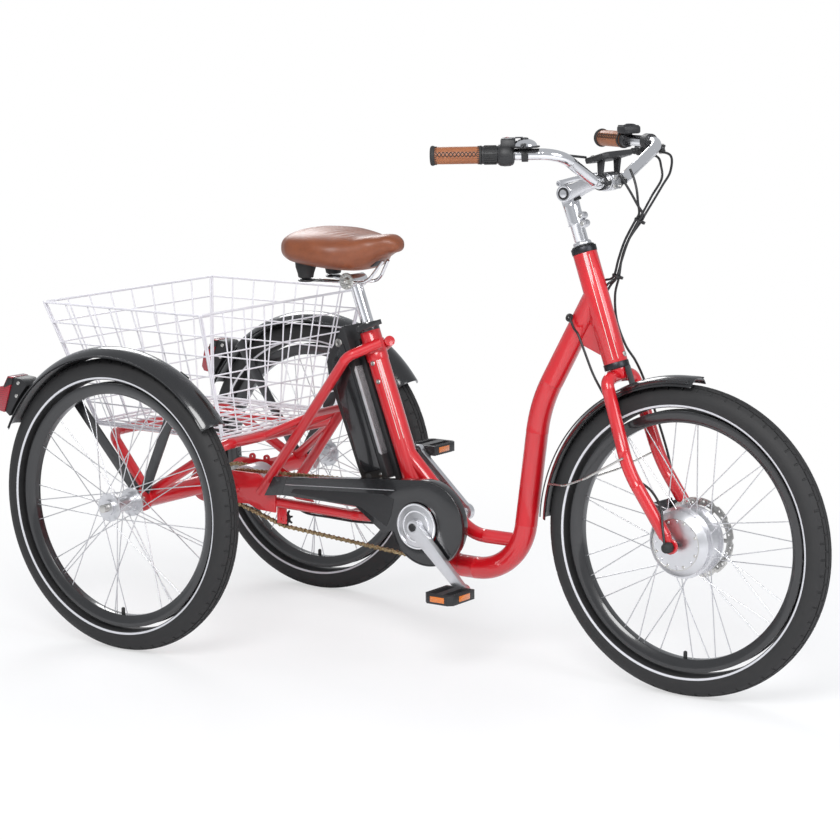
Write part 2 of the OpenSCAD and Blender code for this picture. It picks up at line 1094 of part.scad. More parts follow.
// The clamp of the twist shifter, the brake bracket and the remote's box.
module bar_controls() {
  color("#202020")
    at_axle()
      on_stem() {
        sleeve(grip_length + 32, 26, 19, -1);
        sleeve(brake_s - 9, 18, 16, 1);
        on_grip(1, brake_s) {
          for (x = [brake_pivot.x - 7, brake_pivot.x + 3 + run_gap])
            translate([x, 0, 0])
              rotate([0, 90, 0])
                linear_extrude(4 - run_gap)
                  union() {
                    translate([0, brake_pivot.y])
                      circle(r = 8);
                    polygon([[-8, brake_pivot.y], [-9, -14.5], [9, -14.5],
                        [8, brake_pivot.y]]);
                  }
          translate([brake_pivot.x - 7, -18, -9])
            cube([14, 6, 18]);
          translate([brake_pivot.x - 7.5, brake_pivot.y, 0])
            rotate([0, 90, 0])
              cylinder(h = 15, r = 3);
        }
        sleeve(grip_length + 2, 14, 15, 1);
        on_grip(1, remote_s)
          difference() {
            translate([-30, -16, -14])
              cube([17, 32, 30]);
            translate([-31, 0, 4])
              rotate([0, 90, 0])
                cylinder(h = 6, r = 4 + run_gap);
          }
      }
}

module remote_button() {
  color("#d8d8d8")
    at_axle()
      on_stem()
        on_grip(1, remote_s)
          translate([-33, 0, 4])
            rotate([0, 90, 0])
              cylinder(h = 6, r = 4);
}

// The lever reaches out in front of the grip from a pin in its bracket.
module brake_lever() {
  color("#202020")
    at_axle()
      on_stem()
        on_grip(1, brake_s)
          translate([brake_pivot.x - 3, 0, 0])
            rotate([0, 90, 0])
              linear_extrude(6)
                difference() {
                  union() {
                    translate([0, brake_pivot.y])
                      circle(r = 7);
                    polygon([[-6, -25], [-60, -36], [-118, -39],
                        [-118, -47], [-60, -45], [0, -37], [4, -30]]);
                    translate([-120, -43])
                      circle(r = 6);
                  }
                  translate([0, brake_pivot.y])
                    circle(r = 3 + run_gap);
                }
}

bell_s = grip_length + 82;
bell_pin_y = 29;

module on_bell() {
  at_axle()
    on_stem()
      on_grip(-1, bell_s)
        rotate([0, -90, 0])
          children();
}

// The dome stands on a base with a pin for its thumb lever.
module bell() {
  color("silver") {
    at_axle()
      on_stem()
        sleeve(bell_s - 6, 12, 14, -1);
    on_bell() {
      translate([0, 0, 13])
        cylinder(h = 7, r = 23);
      translate([-5, 0, 13])
        cube([10, bell_pin_y, 5]);
      translate([0, bell_pin_y, 13])
        cylinder(h = 5, r = 5);
      translate([0, bell_pin_y, 17])
        cylinder(h = 6, r = 2.5);
      translate([0, 0, 18])
        cylinder(h = 15, r1 = 22, r2 = 12);
    }
  }
}

module bell_lever() {
  color("#202020")
    on_bell()
      translate([0, bell_pin_y, 18 + seat_gap])
        linear_extrude(4)
          difference() {
            union() {
              circle(r = 5);
              polygon([[-4, 0], [-5, 20], [5, 20], [4, 0]]);
            }
            circle(r = 2.5 + run_gap);
          }
}

// The display lies across the bar on two clamp arms.
module display() {
  color("#181818")
    at_axle()
      on_stem()
        translate(bar_drop) {
          translate([-16, -50, 30])
            rotate([0, 18, 0])
              cube([34, 100, 13]);
          for (y = [-36, 24])
            translate([0, y, 0])
              difference() {
                union() {
                  about_y()
                    cylinder(h = 12, r = bar_clamp_r + 5);
                  translate([-7, 0, 0])
                    cube([14, 12, 30]);
                }
                translate([0, -1, 0])
                  about_y()
                    cylinder(h = 14, r = bar_clamp_r + run_gap);
              }
        }
}

// A quick lever on top of the head.
module stem_lever() {
  color("silver")
    at_axle()
      on_stem()
        rotate([0, -16, 0])
          difference() {
            side_plate(19)
              union() {
                translate(lever_pin)
                  circle(r = 6);
                polygon([[-10, 28], [30, 27], [70, 24], [70, 17], [28, 19],
                    [-6, 17.6]]);
              }
            translate([lever_pin.x, -20, lever_pin.y])
              about_y()
                cylinder(h = 40, r = 3 + run_gap);
          }
}

// ---------- Seat ----------

seat_top_s = seat_tube_l;

// The post carries a clamp that holds the two saddle rails.
clamp_at = seat_foot + (seat_top_s + post_l + 6) * seat_up;
bumper_at = [-92, 48, 3.8];

module seatpost() {
  color("silver")
    at_axle() {
      on_seat()
        translate([0, 0, seat_top_s - 120])
          cylinder(h = 120 + post_l, r = seatpost_r);
      translate(clamp_at - [0, 27, 0])
        about_y()
          cylinder(h = 54, r = 14);
      both_sides()
        bent_bar([clamp_at + [-104, 46, 0], clamp_at + [-50, 22, -2],
             clamp_at + [46, 22, -2], clamp_at + [80, 9, 46]], [40, 40], rail_r);
    }
}

module seat_collar() {
  color("#181818")
    at_axle()
      on_seat()
        translate([0, 0, seat_top_s])
          difference() {
            cylinder(h = collar_l, r = seat_tube_r);
            translate([0, 0, -1])
              cylinder(h = collar_l + 2, r = seatpost_r + run_gap);
          }
}

// The quick lever swings out on a cam beside the collar.
lever_cam = [-4, -seat_tube_r - 7, seat_top_s + collar_l / 2];

module seat_lever() {
  color("#181818")
    at_axle()
      on_seat()
        translate(lever_cam) {
          translate([0, 0, -6])
            cylinder(h = 12, r = 6.4);
          translate([2, -6, -5])
            cube([60, 5, 10]);
        }
}

// The saddle's sections from tail to nose, as shares of its length, its width,
// and its depth at the bottom and at the top.
saddle_sections = [[0, 0.36, 0.4, 0.66], [0.045, 0.74, 0.2, 0.86], [0.19, 0.97, 0.09, 1],
         [0.39, 1, 0.03, 0.99], [0.57, 0.9, 0, 0.91], [0.69, 0.68, 0.03, 0.86],
         [0.79, 0.4, 0.24, 0.9], [0.91, 0.25, 0.45, 0.92], [0.975, 0.17, 0.51, 0.81],
         [1, 0.08, 0.6, 0.71]];
function rounded(v) = sign(v) * pow(abs(v), 0.8);
function saddle_ring(s, sides) = [for (j = [0:sides - 1])
  let (a = 360 * j / sides, mid = (s[2] + s[3]) / 2, half = (s[3] - s[2]) / 2)
    [s[0] * saddle_length, s[1] * saddle_w / 2 * rounded(cos(a)),
    (mid + half * rounded(sin(a))) * saddle_h]];

// A cushion on a pair of rubber bumpers, which stand on the rails.
module saddle() {
  nose = clamp_at + [119, 0, 23];
  sides = 24;
  stations = smooth(saddle_sections, 2);
  color("#7a3b1c")
    at_axle()
      union() {
        translate([nose.x - saddle_length, 0, nose.z])
          loft([for (s = stations) saddle_ring(s, sides)]);
        both_sides()
          translate(clamp_at + bumper_at)
            cylinder(h = 44, r1 = 16, r2 = 20);
      }
}

// ---------- Battery ----------

rail_t = 12;
rail_front = seat_tube_r + seat_gap;
battery_front = rail_front + rail_t + seat_gap;

module battery_rail() {
  color("#101010")
    at_axle()
      on_seat()
        translate([-rail_front - rail_t, -15, 66])
          cube([rail_t, 30, 330]);
}

// The battery's side view: upright at the back, with a sloping top.
module battery() {
  back = battery_front + battery_d;
  color("#141414")
    at_axle()
      on_seat()
        translate([0, battery_w / 2, battery_foot])
          rotate([90, 0, 0])
            linear_extrude(battery_w)
              polygon([[-battery_front, 0], [6 - back, 0], [-back, 6],
                  [-back, battery_l * 0.58], [14 - back, battery_l * 0.82],
                  [-battery_front - 8, battery_l], [-battery_front, battery_l]]);
}

// ---------- Drive ----------

// Points along a belt that runs round circles given as [x, z, radius], anticlockwise.
function belt_normal(a, b) =
  let (d = [b[0] - a[0], b[1] - a[1]], s = (a[2] - b[2]) / norm(d), u = unit(d))
    s * u + sqrt(1 - s * s) * [u.y, -u.x];
function next(k, n) = (k + 1) % n;
function angle_of(v) = (atan2(v.y, v.x) + 360) % 360;
function belt_parts(c) = [for (k = [0:len(c) - 1])
  let (n_in = belt_normal(c[(k + len(c) - 1) % len(c)], c[k]),
    n_out = belt_normal(c[k], c[next(k, len(c))]),
    from = angle_of(n_in),
    sweep = (angle_of(n_out) - from + 360) % 360,
    a = [c[k][0], c[k][1]] + c[k][2] * n_out,
    b = [c[next(k, len(c))][0], c[next(k, len(c))][1]] + c[next(k, len(c))][2] * n_out)
    [c[k], from, sweep, a, b]];
function part_length(p) = p[0][2] * p[2] * PI / 180 + norm(p[4] - p[3]);
function sum(v, k = 0) = k == len(v) ? 0 : v[k] + sum(v, k + 1);
function belt_length(c) = sum([for (p = belt_parts(c)) part_length(p)]);
function in_part(p, s) =
  let (arc = p[0][2] * p[2] * PI / 180)
    s <= arc
      ? [p[0][0], p[0][1]] + p[0][2] * [cos(p[1] + s / p[0][2] * 180 / PI),
                       sin(p[1] + s / p[0][2] * 180 / PI)]
      : mix(p[3], p[4], (s - arc) / norm(p[4] - p[3]));
function along(parts, s, k = 0) =
  s <= part_length(parts[k]) || k == len(parts) - 1
    ? in_part(parts[k], s) : along(parts, s - part_length(parts[k]), k + 1);

// The value of a growing measure's argument at which it reaches a target.
function settle(measure, target, low, high, step = 30) =
  let (mid = (low + high) / 2)
    step == 0 ? mid
      : measure(mid) > target
        ? settle(measure, target, low, mid, step - 1)
        : settle(measure, target, mid, high, step - 1);

// Each chain has a whole, even number of links: the hub slides in its plates
// until the short chain fits, and the idler drops until the long one does.
least_hub_x = 80;
least_drop = 20;
function even_links(l) = 2 * ceil(l / pitch / 2);
axle_belt = function (x) [[0, axle_z, ring_r(axle_teeth)], [x, hub_z, ring_r(output_teeth)]];
axle_links = even_links(belt_length(axle_belt(least_hub_x)));
hub_at = [settle(function (x) belt_length(axle_belt(x)), axle_links * pitch,
        least_hub_x, least_hub_x + 2 * pitch), 0, hub_z];
drive_belt = function (drop) [[bracket.x, bracket.z, ring_r(ring_teeth)],
               [hub_at.x, hub_at.z, ring_r(hub_teeth)],
               [idler_x, bracket.z - drop, ring_r(idler_teeth)]];
drive_links = even_links(belt_length(drive_belt(least_drop)));
idler_drop = settle(function (drop) belt_length(drive_belt(drop)), drive_links * pitch,
          least_drop, 120);
idler_z = bracket.z - idler_drop;
drive_run = drive_belt(idler_drop);
axle_run = axle_belt(hub_at.x);

// Angle about a wheel of the belt at which one of the chain's pins lies.
function pin_angle(parts, k) =
  let (before = sum([for (j = [0:1:k - 1]) part_length(parts[j])]),
    first = ceil(before / pitch) * pitch - before)
    parts[k][1] + first / parts[k][0][2] * 180 / PI;

// Each gap seats a roller and opens outwards, so that the rollers clear the teeth
// where the chain runs on and off. A round is its distance out and its clearance.
tooth_h = 3;
gap_rounds = [[0, 0.3], [2, 1], [5, 2.6]];

module sprocket(teeth, t, phase) {
  r = ring_r(teeth);
  difference() {
    cylinder(h = t, r = r + tooth_h);
    for (k = [0:teeth - 1], gap = gap_rounds)
      rotate(phase + k * 360 / teeth)
        translate([r + gap[0], 0, -1])
          cylinder(h = t + 2, r = roller_r + gap[1], $fn = 24);
  }
}

module chainring() {
  color("#303030")
    at_axle()
      translate([bracket.x, chain_y - 1.2, bracket.z])
        about_y()
          difference() {
            sprocket(ring_teeth, 2.4, -pin_angle(belt_parts(drive_run), 0));
            translate([0, 0, -1])
              cylinder(h = 5, r = spindle_r + run_gap);
            for (k = [0:4])
              rotate(k * 72)
                translate([40, 0, -1])
                  cylinder(h = 5, r = 14);
          }
}

// A chain pulley under the chainstay keeps the long chain tight.
module idler() {
  color("#202020")
    at_axle()
      translate([idler_x, chain_y - 1.2, idler_z])
        about_y()
          difference() {
            union() {
              sprocket(idler_teeth, 2.4, -pin_angle(belt_parts(drive_run), 2));
              translate([0, 0, -2])
                cylinder(h = 6.4, r = 8);
            }
            translate([0, 0, -10])
              cylinder(h = 20, r = 3 + run_gap);
          }
}

module crank_arm() {
  a = [0, 0, 0];
  b = [crank_length, 0, 0];
  difference() {
    union() {
      about_y()
        cylinder(h = 14, r = 17);
      translate(b)
        about_y()
          cylinder(h = 14, r = 13);
      rotate([-90, 0, 0])
        linear_extrude(12)
          polygon([[0, -15], [crank_length, -10], [crank_length, 10], [0, 15]]);
    }
    translate(b - [0, 1, 0])
      about_y()
        cylinder(h = 20, r = 5 + run_gap);
  }
}

// The spindle, both cranks and the bright cover in front of the chainring.
module crankset() {
  color("silver")
    at_axle()
      translate(bracket) {
        translate([0, -crank_y - 2, 0])
          about_y()
            cylinder(h = 2 * crank_y + 4, r = spindle_r);
        rotate([0, crank_angle, 0])
          translate([0, -crank_y - 14, 0])
            crank_arm();
        rotate([0, crank_angle + 180, 0])
          translate([0, crank_y, 0])
            crank_arm();
        translate([0, -crank_y, 0])
          about_y()
            cylinder(h = 3, r = 48);
      }
}

function pedal_at(side) = bracket
  + (side < 0 ? 1 : -1) * crank_length * [cos(crank_angle), 0, -sin(crank_angle)];

// A pedal is a cage of two bars round a barrel, with its outer corners cut off.
module pedal(side) {
  pin_r = 5;
  barrel = 9;
  bar = 9;
  thick = 20;
  hole_w = pedal_w / 2 - bar - barrel;
  color("#151515")
    at_axle()
      translate(pedal_at(side))
        mirror([0, side < 0 ? 1 : 0, 0]) {
          translate([0, crank_y, 0])
            about_y()
              cylinder(h = 20, r = pin_r);
          translate([0, pedal_y, -thick / 2])
            linear_extrude(thick)
              difference() {
                polygon([[-pedal_w / 2, 0], [pedal_w / 2, 0],
                    [pedal_w / 2, pedal_length - bar],
                    [pedal_w / 2 - bar, pedal_length],
                    [bar - pedal_w / 2, pedal_length],
                    [-pedal_w / 2, pedal_length - bar]]);
                for (s = [-1, 1])
                  translate([s * (barrel + hole_w / 2) - hole_w / 2, bar])
                    square([hole_w, pedal_length - 2 * bar]);
              }
        }
}

module right_pedal() {
  pedal(-1);
}

module left_pedal() {
  pedal(1);
}

// The gear hub turns on an axle between the plates, with a sprocket at each end.
module gear_hub() {
  color("silver")
    at_axle()
      translate(hub_at)
        about_y()
          difference() {
            union() {
              rotate_extrude()
                polygon([[0, -60], [22, -60], [22, chain_y + 6],
                    [34, chain_y + 8], [46, chain_y + 14],
                    [46, 22], [40, 30], [0, 30]]);
              translate([0, 0, chain_y - 1.2])
                sprocket(hub_teeth, 2.4, -pin_angle(belt_parts(drive_run), 1));
              translate([0, 0, 29])
                cylinder(h = 20, r = 14);
              translate([0, 0, rear_chain_y - 1.2])
                sprocket(output_teeth, 2.4, -pin_angle(belt_parts(axle_run), 1));
            }
            translate([0, 0, -100])
              cylinder(h = 200, r = hub_axle_r + run_gap);
          }
}

module rear_axle() {
  color("#a8a8a8")
    at_axle()
      translate([0, 0, axle_z])
        about_y() {
          translate([0, 0, -axle_length / 2])
            cylinder(h = axle_length, r = axle_r);
          translate([0, 0, rear_chain_y - 1.2])
            sprocket(axle_teeth, 2.4, -pin_angle(belt_parts(axle_run), 0));
          translate([0, 0, rear_chain_y - 10])
            cylinder(h = 20, r = 15);
        }
}

// A chain link lies between two pins and is drawn flat in the XZ plane.
module link(a, b, outer) {
  d = b - a;
  l = norm(d);
  y = outer ? 3.45 : 2.35;
  translate([a.x, 0, a.y])
    rotate([0, -atan2(d.y, d.x), 0])
      rotate([90, 0, 0])
        for (z = [-y - 1, y])
          translate([0, 0, z])
            linear_extrude(1)
              union() {
                circle(r = 4, $fn = 24);
                translate([l, 0])
                  circle(r = 4, $fn = 24);
                translate([0, -2.6])
                  square([l, 5.2]);
              }
}

module chain(run, links, y) {
  parts = belt_parts(run);
  translate([0, y, 0])
    for (k = [0:links - 1]) {
      a = along(parts, k * pitch);
      b = along(parts, ((k + 1) % links) * pitch);
      link(a, b, k % 2 == 0);
      translate([a.x, -2.25, a.y])
        about_y()
          cylinder(h = 4.5, r = roller_r, $fn = 24);
    }
}

module chains() {
  color("#8a6a3c")
    at_axle() {
      chain(drive_run, drive_links, chain_y);
      chain(axle_run, axle_links, rear_chain_y);
    }
}

// The guard is a shell over the chainring with an arm along the upper chain run.
module chain_guard() {
  tip_y = -plate_gap / 2 - plate_t - seat_gap;
  arm_rear = 226;
  color("#0c0c0c")
    at_axle()
      translate([0, guard_face_y + 20, 0])
        rotate([90, 0, 0])
          difference() {
            linear_extrude(20)
              union() {
                translate([guard_at.x, guard_at.z])
                  circle(r = guard_r);
                polygon([[arm_rear, 312], [arm_rear + 14, 352],
                    [guard_at.x, guard_at.z + guard_r],
                    [guard_at.x, guard_at.z], [490, 262], [420, 310]]);
              }
            translate([0, 0, -1])
              linear_extrude(18)
                union() {
                  translate([guard_at.x, guard_at.z])
                    circle(r = guard_r - 3);
                  polygon([[arm_rear - 5, 315], [arm_rear + 9, 349],
                      [guard_at.x, guard_at.z + guard_r - 3],
                      [guard_at.x, guard_at.z], [490, 265],
                      [420, 313]]);
                }
            translate([bracket.x, bracket.z, -1])
              cylinder(h = 40, r = 50);
          }
  color("#0c0c0c")
    at_axle()
      translate([0, tip_y, 0])
        rotate([90, 0, 0])
          linear_extrude(tip_y - guard_face_y)
            polygon([[178, 306], [204, 350], [arm_rear + 13.6, 352],
                [arm_rear - 0.4, 312]]);
}

// ---------- Cables ----------

// A skin over rings of as many points, closed at both ends.
module loft(rings) {
  n = len(rings);
  sides = len(rings[0]);
  polyhedron(points = [for (ring = rings, p = ring) p], faces = concat(
    [[for (j = [0:sides - 1]) j]],
    [[for (j = [0:sides - 1]) n * sides - 1 - j]],
    [for (k = [0:n - 2], j = [0:sides - 1])
      let (a = k * sides + j, b = k * sides + (j + 1) % sides)
        [a, a + sides, b + sides, b]]));
}

// A smooth line through a route's points.
function spline_at(p, k, t) =
  let (a = p[max(k - 1, 0)], b = p[k], c = p[k + 1], d = p[min(k + 2, len(p) - 1)])
    0.5 * (2 * b + (c - a) * t + (2 * a - 5 * b + 4 * c - d) * t * t
       + (3 * b - a - 3 * c + d) * t * t * t);
function smooth(p, steps) = concat(
  [for (k = [0:len(p) - 2], j = [0:steps - 1]) spline_at(p, k, j / steps)], [p[len(p) - 1]]);
function heading(q, k) = unit(q[min(k + 1, len(q) - 1)] - q[max(k - 1, 0)]);
function across(v, dir) = unit(v - (v * dir) * dir);

// A cable is a tube of eight sides swept along its route.
module cable(route, r, steps = 2) {
  q = smooth(route, steps);
  n = len(q);
  sides = 8;
  start = across([0.3, 1, 0.2], heading(q, 0));
  normals = [for (k = 0, v = start; k < n;
          k = k + 1, v = k < n ? across(v, heading(q, k)) : v) v];
  loft([for (k = [0:n - 1])
    [for (j = [0:sides - 1])
      let (u = normals[k], w = cross(heading(q, k), u), a = j * 360 / sides)
        q[k] + r * (cos(a) * u + sin(a) * w)]]);
}

cable_r = 2.5;
first_tie = [1021, 45, 927];
second_tie = [978, 34, 814];

// The controls' cables come together at the first tie, each in its own place.
tie_spots = [[6, 5, 0], [-2, 6, 0], [4, -4, 0], [-5, -2, 0]];

module to_tie(route, spot) {
  cable(concat(route, [first_tie + spot + [7, 2, 14], first_tie + spot + [0.55, 0, 1.1]]),
     cable_r);
}

module bar_cables() {
  color("#101010")
    at_axle() {
      to_tie([[920, 226, 1048.9], [975, 213.5, 1048.9], [1005, 200, 1041],
          [1020, 170, 1013], [1026, 130, 990], [1032, 88, 966]], tie_spots[0]);
      to_tie([[915, 222, 1046], [968, 206, 1040], [990, 186, 1022], [1012, 150, 1000],
          [1020, 100, 972]], tie_spots[1]);
      to_tie([[992.5, 4, 1022.4], [1005, 8, 1011], [1019, 18, 984], [1027, 32, 958]],
         tie_spots[2]);
      to_tie([[1000, 48, 1026], [1010, 46, 1008], [1019, 42, 986], [1022, 42, 962]],
         tie_spots[3]);
      cable([[901.1, -220.8, 1068.2], [911, -213.3, 1068.6], [921, -206.6, 1069],
         [935, -197, 1070], [952, -140, 1064], [962, -56, 1054]], cable_r);
    }
}

// The brake line and the motor's lead, where they run along the fork.
module fork_cables() {
  color("#101010")
    at_axle() {
      cable([first_tie + tie_spots[0], [1002, 42, 889], [989, 38, 852],
         second_tie + [5, 3, 0], [972, 41, 777], [972, 48, 726], [989, 54, 677],
         [1006, 66, 644], [1020, 80, 600], [1050, 84, 520], [1074, 84, 450],
         [1084, 80, 400]], cable_r);
      cable([[994.2, -35, 587.7], [1014, -35, 556], [1040, -39, 500], [1066, -44, 440],
         [1110, -48, 412], [1138, -60, 384], [1152, -75.2, 347], [1160, -82, 318]],
         cable_r);
    }
}

// Where three cables reach the left of the head tube.
head_entries = [[953, 27, 784], [961.5, 25.9, 784], [943, 26.4, 790]];

// Cables that flex as the handlebar steers: three to the frame and the motor's lead.
module steer_cables() {
  color("#101010")
    at_axle() {
      for (k = [0:2])
        let (d = tie_spots[k + 1])
          cable([first_tie + d, [1000, 41, 887] + d, [988, 37, 850] + d,
             second_tie + d, head_entries[k] + [8, 4, 15], head_entries[k]],
             cable_r);
      cable([[908, -26, 736], [922, -33, 716], [937, -40, 704], [953, -42, 672],
         [972, -40, 628], [994, -35, 588]], cable_r);
    }
}

// The shift cable runs along the right chainstay to the gear hub.
module stay_cable() {
  color("#101010")
    at_axle()
      cable([[165, -42.5, 289], [205, -40.9, 288], [240, -43.8, 276.5], [275, -53.4, 271.8],
         [330, -51.9, 270.2], [390, -50.3, 268.3], [430, -43.8, 268.8],
         [450, -39.6, 269.4]], cable_r);
}

down_tube();
seat_tube();
rear_stays();
axle_beam();
headset();
carrier();
fender_stays();
right_fender();
left_fender();
tail_lamps();
tail_lenses();
basket_floor();
basket_sides();
basket_ends();
chain_guard();
battery_rail();
seat_collar();
chains();
steer_cables();
stay_cable();
fork();
motor_axle();
front_fender();
fender_wires();
brake_caliper();
stem_post();
fork_cables();
front_tyre();
front_rim();
motor_hub();
brake_disc();
stem_head();
handlebar();
grips();
bar_controls();
display();
bell();
bar_cables();
stem_lever();
shifter_collar();
brake_lever();
bell_lever();
remote_button();
crankset();
chainring();
right_pedal();
left_pedal();
rear_axle();
right_tyre();
right_rim();
right_hub();
left_tyre();
left_rim();
left_hub();
gear_hub();
idler();
seatpost();
saddle();
seat_lever();
battery();
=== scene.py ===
# %% [markdown]
# An adult tricycle arrives here as a imported CAD frame: every tube, wheel and
# hinge already has its place, in metres, with +X forward, +Y to the rider's
# left and +Z up. This script dresses that frame. The first cell loads it.

# %% Load the frame
import json
import math

import bmesh
import bpy
from mathutils import Matrix, Vector


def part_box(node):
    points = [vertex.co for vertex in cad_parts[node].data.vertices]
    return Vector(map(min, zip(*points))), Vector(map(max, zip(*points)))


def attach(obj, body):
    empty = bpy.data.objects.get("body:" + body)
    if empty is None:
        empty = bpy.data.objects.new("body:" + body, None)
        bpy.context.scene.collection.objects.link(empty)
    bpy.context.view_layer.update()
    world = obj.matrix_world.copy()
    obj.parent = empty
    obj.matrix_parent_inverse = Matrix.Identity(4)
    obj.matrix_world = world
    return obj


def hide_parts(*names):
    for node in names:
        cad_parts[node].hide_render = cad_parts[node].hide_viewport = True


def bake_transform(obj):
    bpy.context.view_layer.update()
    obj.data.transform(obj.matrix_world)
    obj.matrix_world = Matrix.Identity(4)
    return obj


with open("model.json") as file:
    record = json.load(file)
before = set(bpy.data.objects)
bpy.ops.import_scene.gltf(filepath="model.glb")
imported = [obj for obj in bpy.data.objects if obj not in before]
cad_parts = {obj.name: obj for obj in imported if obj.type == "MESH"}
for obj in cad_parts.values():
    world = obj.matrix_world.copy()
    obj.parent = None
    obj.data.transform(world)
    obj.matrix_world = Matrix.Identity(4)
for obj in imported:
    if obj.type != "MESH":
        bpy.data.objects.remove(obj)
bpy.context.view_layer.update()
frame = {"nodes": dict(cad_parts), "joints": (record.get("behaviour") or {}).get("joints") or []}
nodes = frame["nodes"]

# %% [markdown]
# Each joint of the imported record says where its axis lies. The wheels, the
# cranks and the stem are dressed round these axes, so their places are read
# once here and named in plain words.

# %% Axes of the moving pieces
JOINT = {j["name"]: j for j in frame["joints"]}
MM = 0.001
UP, FORWARD, LEFT = Vector((0, 0, 1)), Vector((1, 0, 0)), Vector((0, 1, 0))


def joint_at(name):
    return Vector(JOINT[name]["pos_m"])


def joint_axis(name):
    return Vector(JOINT[name]["axis"]).normalized()


FRONT_AXLE = joint_at("front_wheel_spin")
REAR_AXLE = joint_at("rear_axle_spin")
BRACKET = joint_at("crank_spin")
HEAD_FOOT = joint_at("steering")
STEER_UP = joint_axis("steering")
STEER_FORWARD = LEFT.cross(STEER_UP).normalized()
STEM_PIVOT = joint_at("stem_tilt")
SEAT_UP = joint_axis("seat_height")
SEAT_BACK = -LEFT.cross(SEAT_UP).normalized()
print("rear axle", REAR_AXLE[:], "front axle", FRONT_AXLE[:])

# %% [markdown]
# The tricycle is seen from the front right, a little above its axles, through
# a long lens. A long lens keeps the three wheels almost equal in size, as a
# catalogue picture does. The camera is turned by hand, because its roll is not
# exactly level.

# %% Camera
AZIMUTH, ELEVATION, ROLL = math.radians(35.09), math.radians(9.65), math.radians(-0.30)
back = Vector((math.sin(AZIMUTH) * math.cos(ELEVATION),
               -math.cos(AZIMUTH) * math.cos(ELEVATION), math.sin(ELEVATION)))
right = (-back).cross(UP).normalized()
top = back.cross(right)
cam_right = math.cos(ROLL) * right + math.sin(ROLL) * top
cam_top = -math.sin(ROLL) * right + math.cos(ROLL) * top
camera_data = bpy.data.cameras.new("camera")
camera_data.lens = 115.06
camera_data.sensor_width = 36.0
camera_data.shift_x, camera_data.shift_y = -0.0043, -0.0012
camera_data.clip_end = 60.0
camera = bpy.data.objects.new("camera", camera_data)
bpy.context.scene.collection.objects.link(camera)
turn = Matrix((cam_right, cam_top, back)).transposed().to_4x4()
camera.matrix_world = Matrix.Translation((3.119, -4.493, 1.427)) @ turn
bpy.context.scene.camera = camera
print("camera at", camera.location[:])

# %% [markdown]
# The camera sees a white world. Every other ray sees a softer, slightly blue
# light, so that chrome and paint mirror a bright studio. Three round lamps
# model the tubes: a key on the right, a fill in front and one behind.

# %% Stage and light
scene = bpy.context.scene
scene.view_settings.view_transform = "Standard"

world = bpy.data.worlds.new("studio")
scene.world = world
world.use_nodes = True
wt = world.node_tree
wt.nodes.clear()
world_out = wt.nodes.new("ShaderNodeOutputWorld")
world_mix = wt.nodes.new("ShaderNodeMixShader")
world_lit = wt.nodes.new("ShaderNodeBackground")
world_seen = wt.nodes.new("ShaderNodeBackground")
world_ray = wt.nodes.new("ShaderNodeLightPath")
world_lit.inputs["Color"].default_value = (0.93, 0.96, 1.0, 1.0)
world_lit.inputs["Strength"].default_value = 0.55
world_seen.inputs["Color"].default_value = (1.0, 1.0, 1.0, 1.0)
world_seen.inputs["Strength"].default_value = 1.0
wt.links.new(world_ray.outputs["Is Camera Ray"], world_mix.inputs["Fac"])
wt.links.new(world_lit.outputs["Background"], world_mix.inputs[1])
wt.links.new(world_seen.outputs["Background"], world_mix.inputs[2])
wt.links.new(world_mix.outputs["Shader"], world_out.inputs["Surface"])


def area_light(name, place, target, size, power, colour=(1, 1, 1)):
    data = bpy.data.lights.new(name, "AREA")
    data.shape, data.size, data.energy, data.color = "DISK", size, power, colour
    lamp = bpy.data.objects.new(name, data)
    scene.collection.objects.link(lamp)
    lamp.location = place
    lamp.rotation_euler = (Vector(target) - Vector(place)).to_track_quat("-Z", "Y").to_euler()
    return lamp


area_light("key", (1.6, -3.6, 3.4), (0.0, 0.0, 0.4), 2.4, 150)
area_light("fill", (4.0, -0.6, 2.2), (0.2, 0.0, 0.5), 2.2, 60, (0.95, 0.97, 1.0))
area_light("rear", (-3.2, 2.6, 3.0), (0.0, 0.0, 0.5), 2.0, 70)

# %% [markdown]
# Shader maths reads best as ordinary expressions. A small class wraps one
# socket of a node tree and turns Python's operators into Math nodes, so that
# a wear mask can be written as 1 - mask * 0.3. Colours are blended by a Mix
# node. Every other node comes from one method that takes its type, its
# settings and its inputs.

# %% A socket with operators
class Sock:
    def __init__(self, tree, socket):
        self.tree, self.socket = tree, socket

    def _math(self, op, other=None, first=None):
        node = self.tree.nodes.new("ShaderNodeMath")
        node.operation = op
        pair = (self, other) if first is None else (first, self)
        for slot, value in zip(node.inputs, pair):
            if isinstance(value, Sock):
                self.tree.links.new(value.socket, slot)
            elif value is not None:
                slot.default_value = value
        return Sock(self.tree, node.outputs[0])

    def __add__(self, o): return self._math("ADD", o)
    def __radd__(self, o): return self._math("ADD", first=o)
    def __sub__(self, o): return self._math("SUBTRACT", o)
    def __rsub__(self, o): return self._math("SUBTRACT", first=o)
    def __mul__(self, o): return self._math("MULTIPLY", o)
    def __rmul__(self, o): return self._math("MULTIPLY", first=o)
    def __truediv__(self, o): return self._math("DIVIDE", o)
    def __rtruediv__(self, o): return self._math("DIVIDE", first=o)
    def sin(self): return self._math("SINE")
    def sqrt(self): return self._math("SQRT")
    def high(self, o): return self._math("MAXIMUM", o)
    def low(self, o): return self._math("MINIMUM", o)
    def clamp(self): return self.high(0.0).low(1.0)

    def step(self, at, width):
        """0 below at, 1 above it, over a soft width."""
        return ((self - (at - width / 2)) / width).clamp()

    def band(self, low, high, soft):
        """1 between low and high, 0 outside."""
        return self.step(low, soft) * (1 - self.step(high, soft))


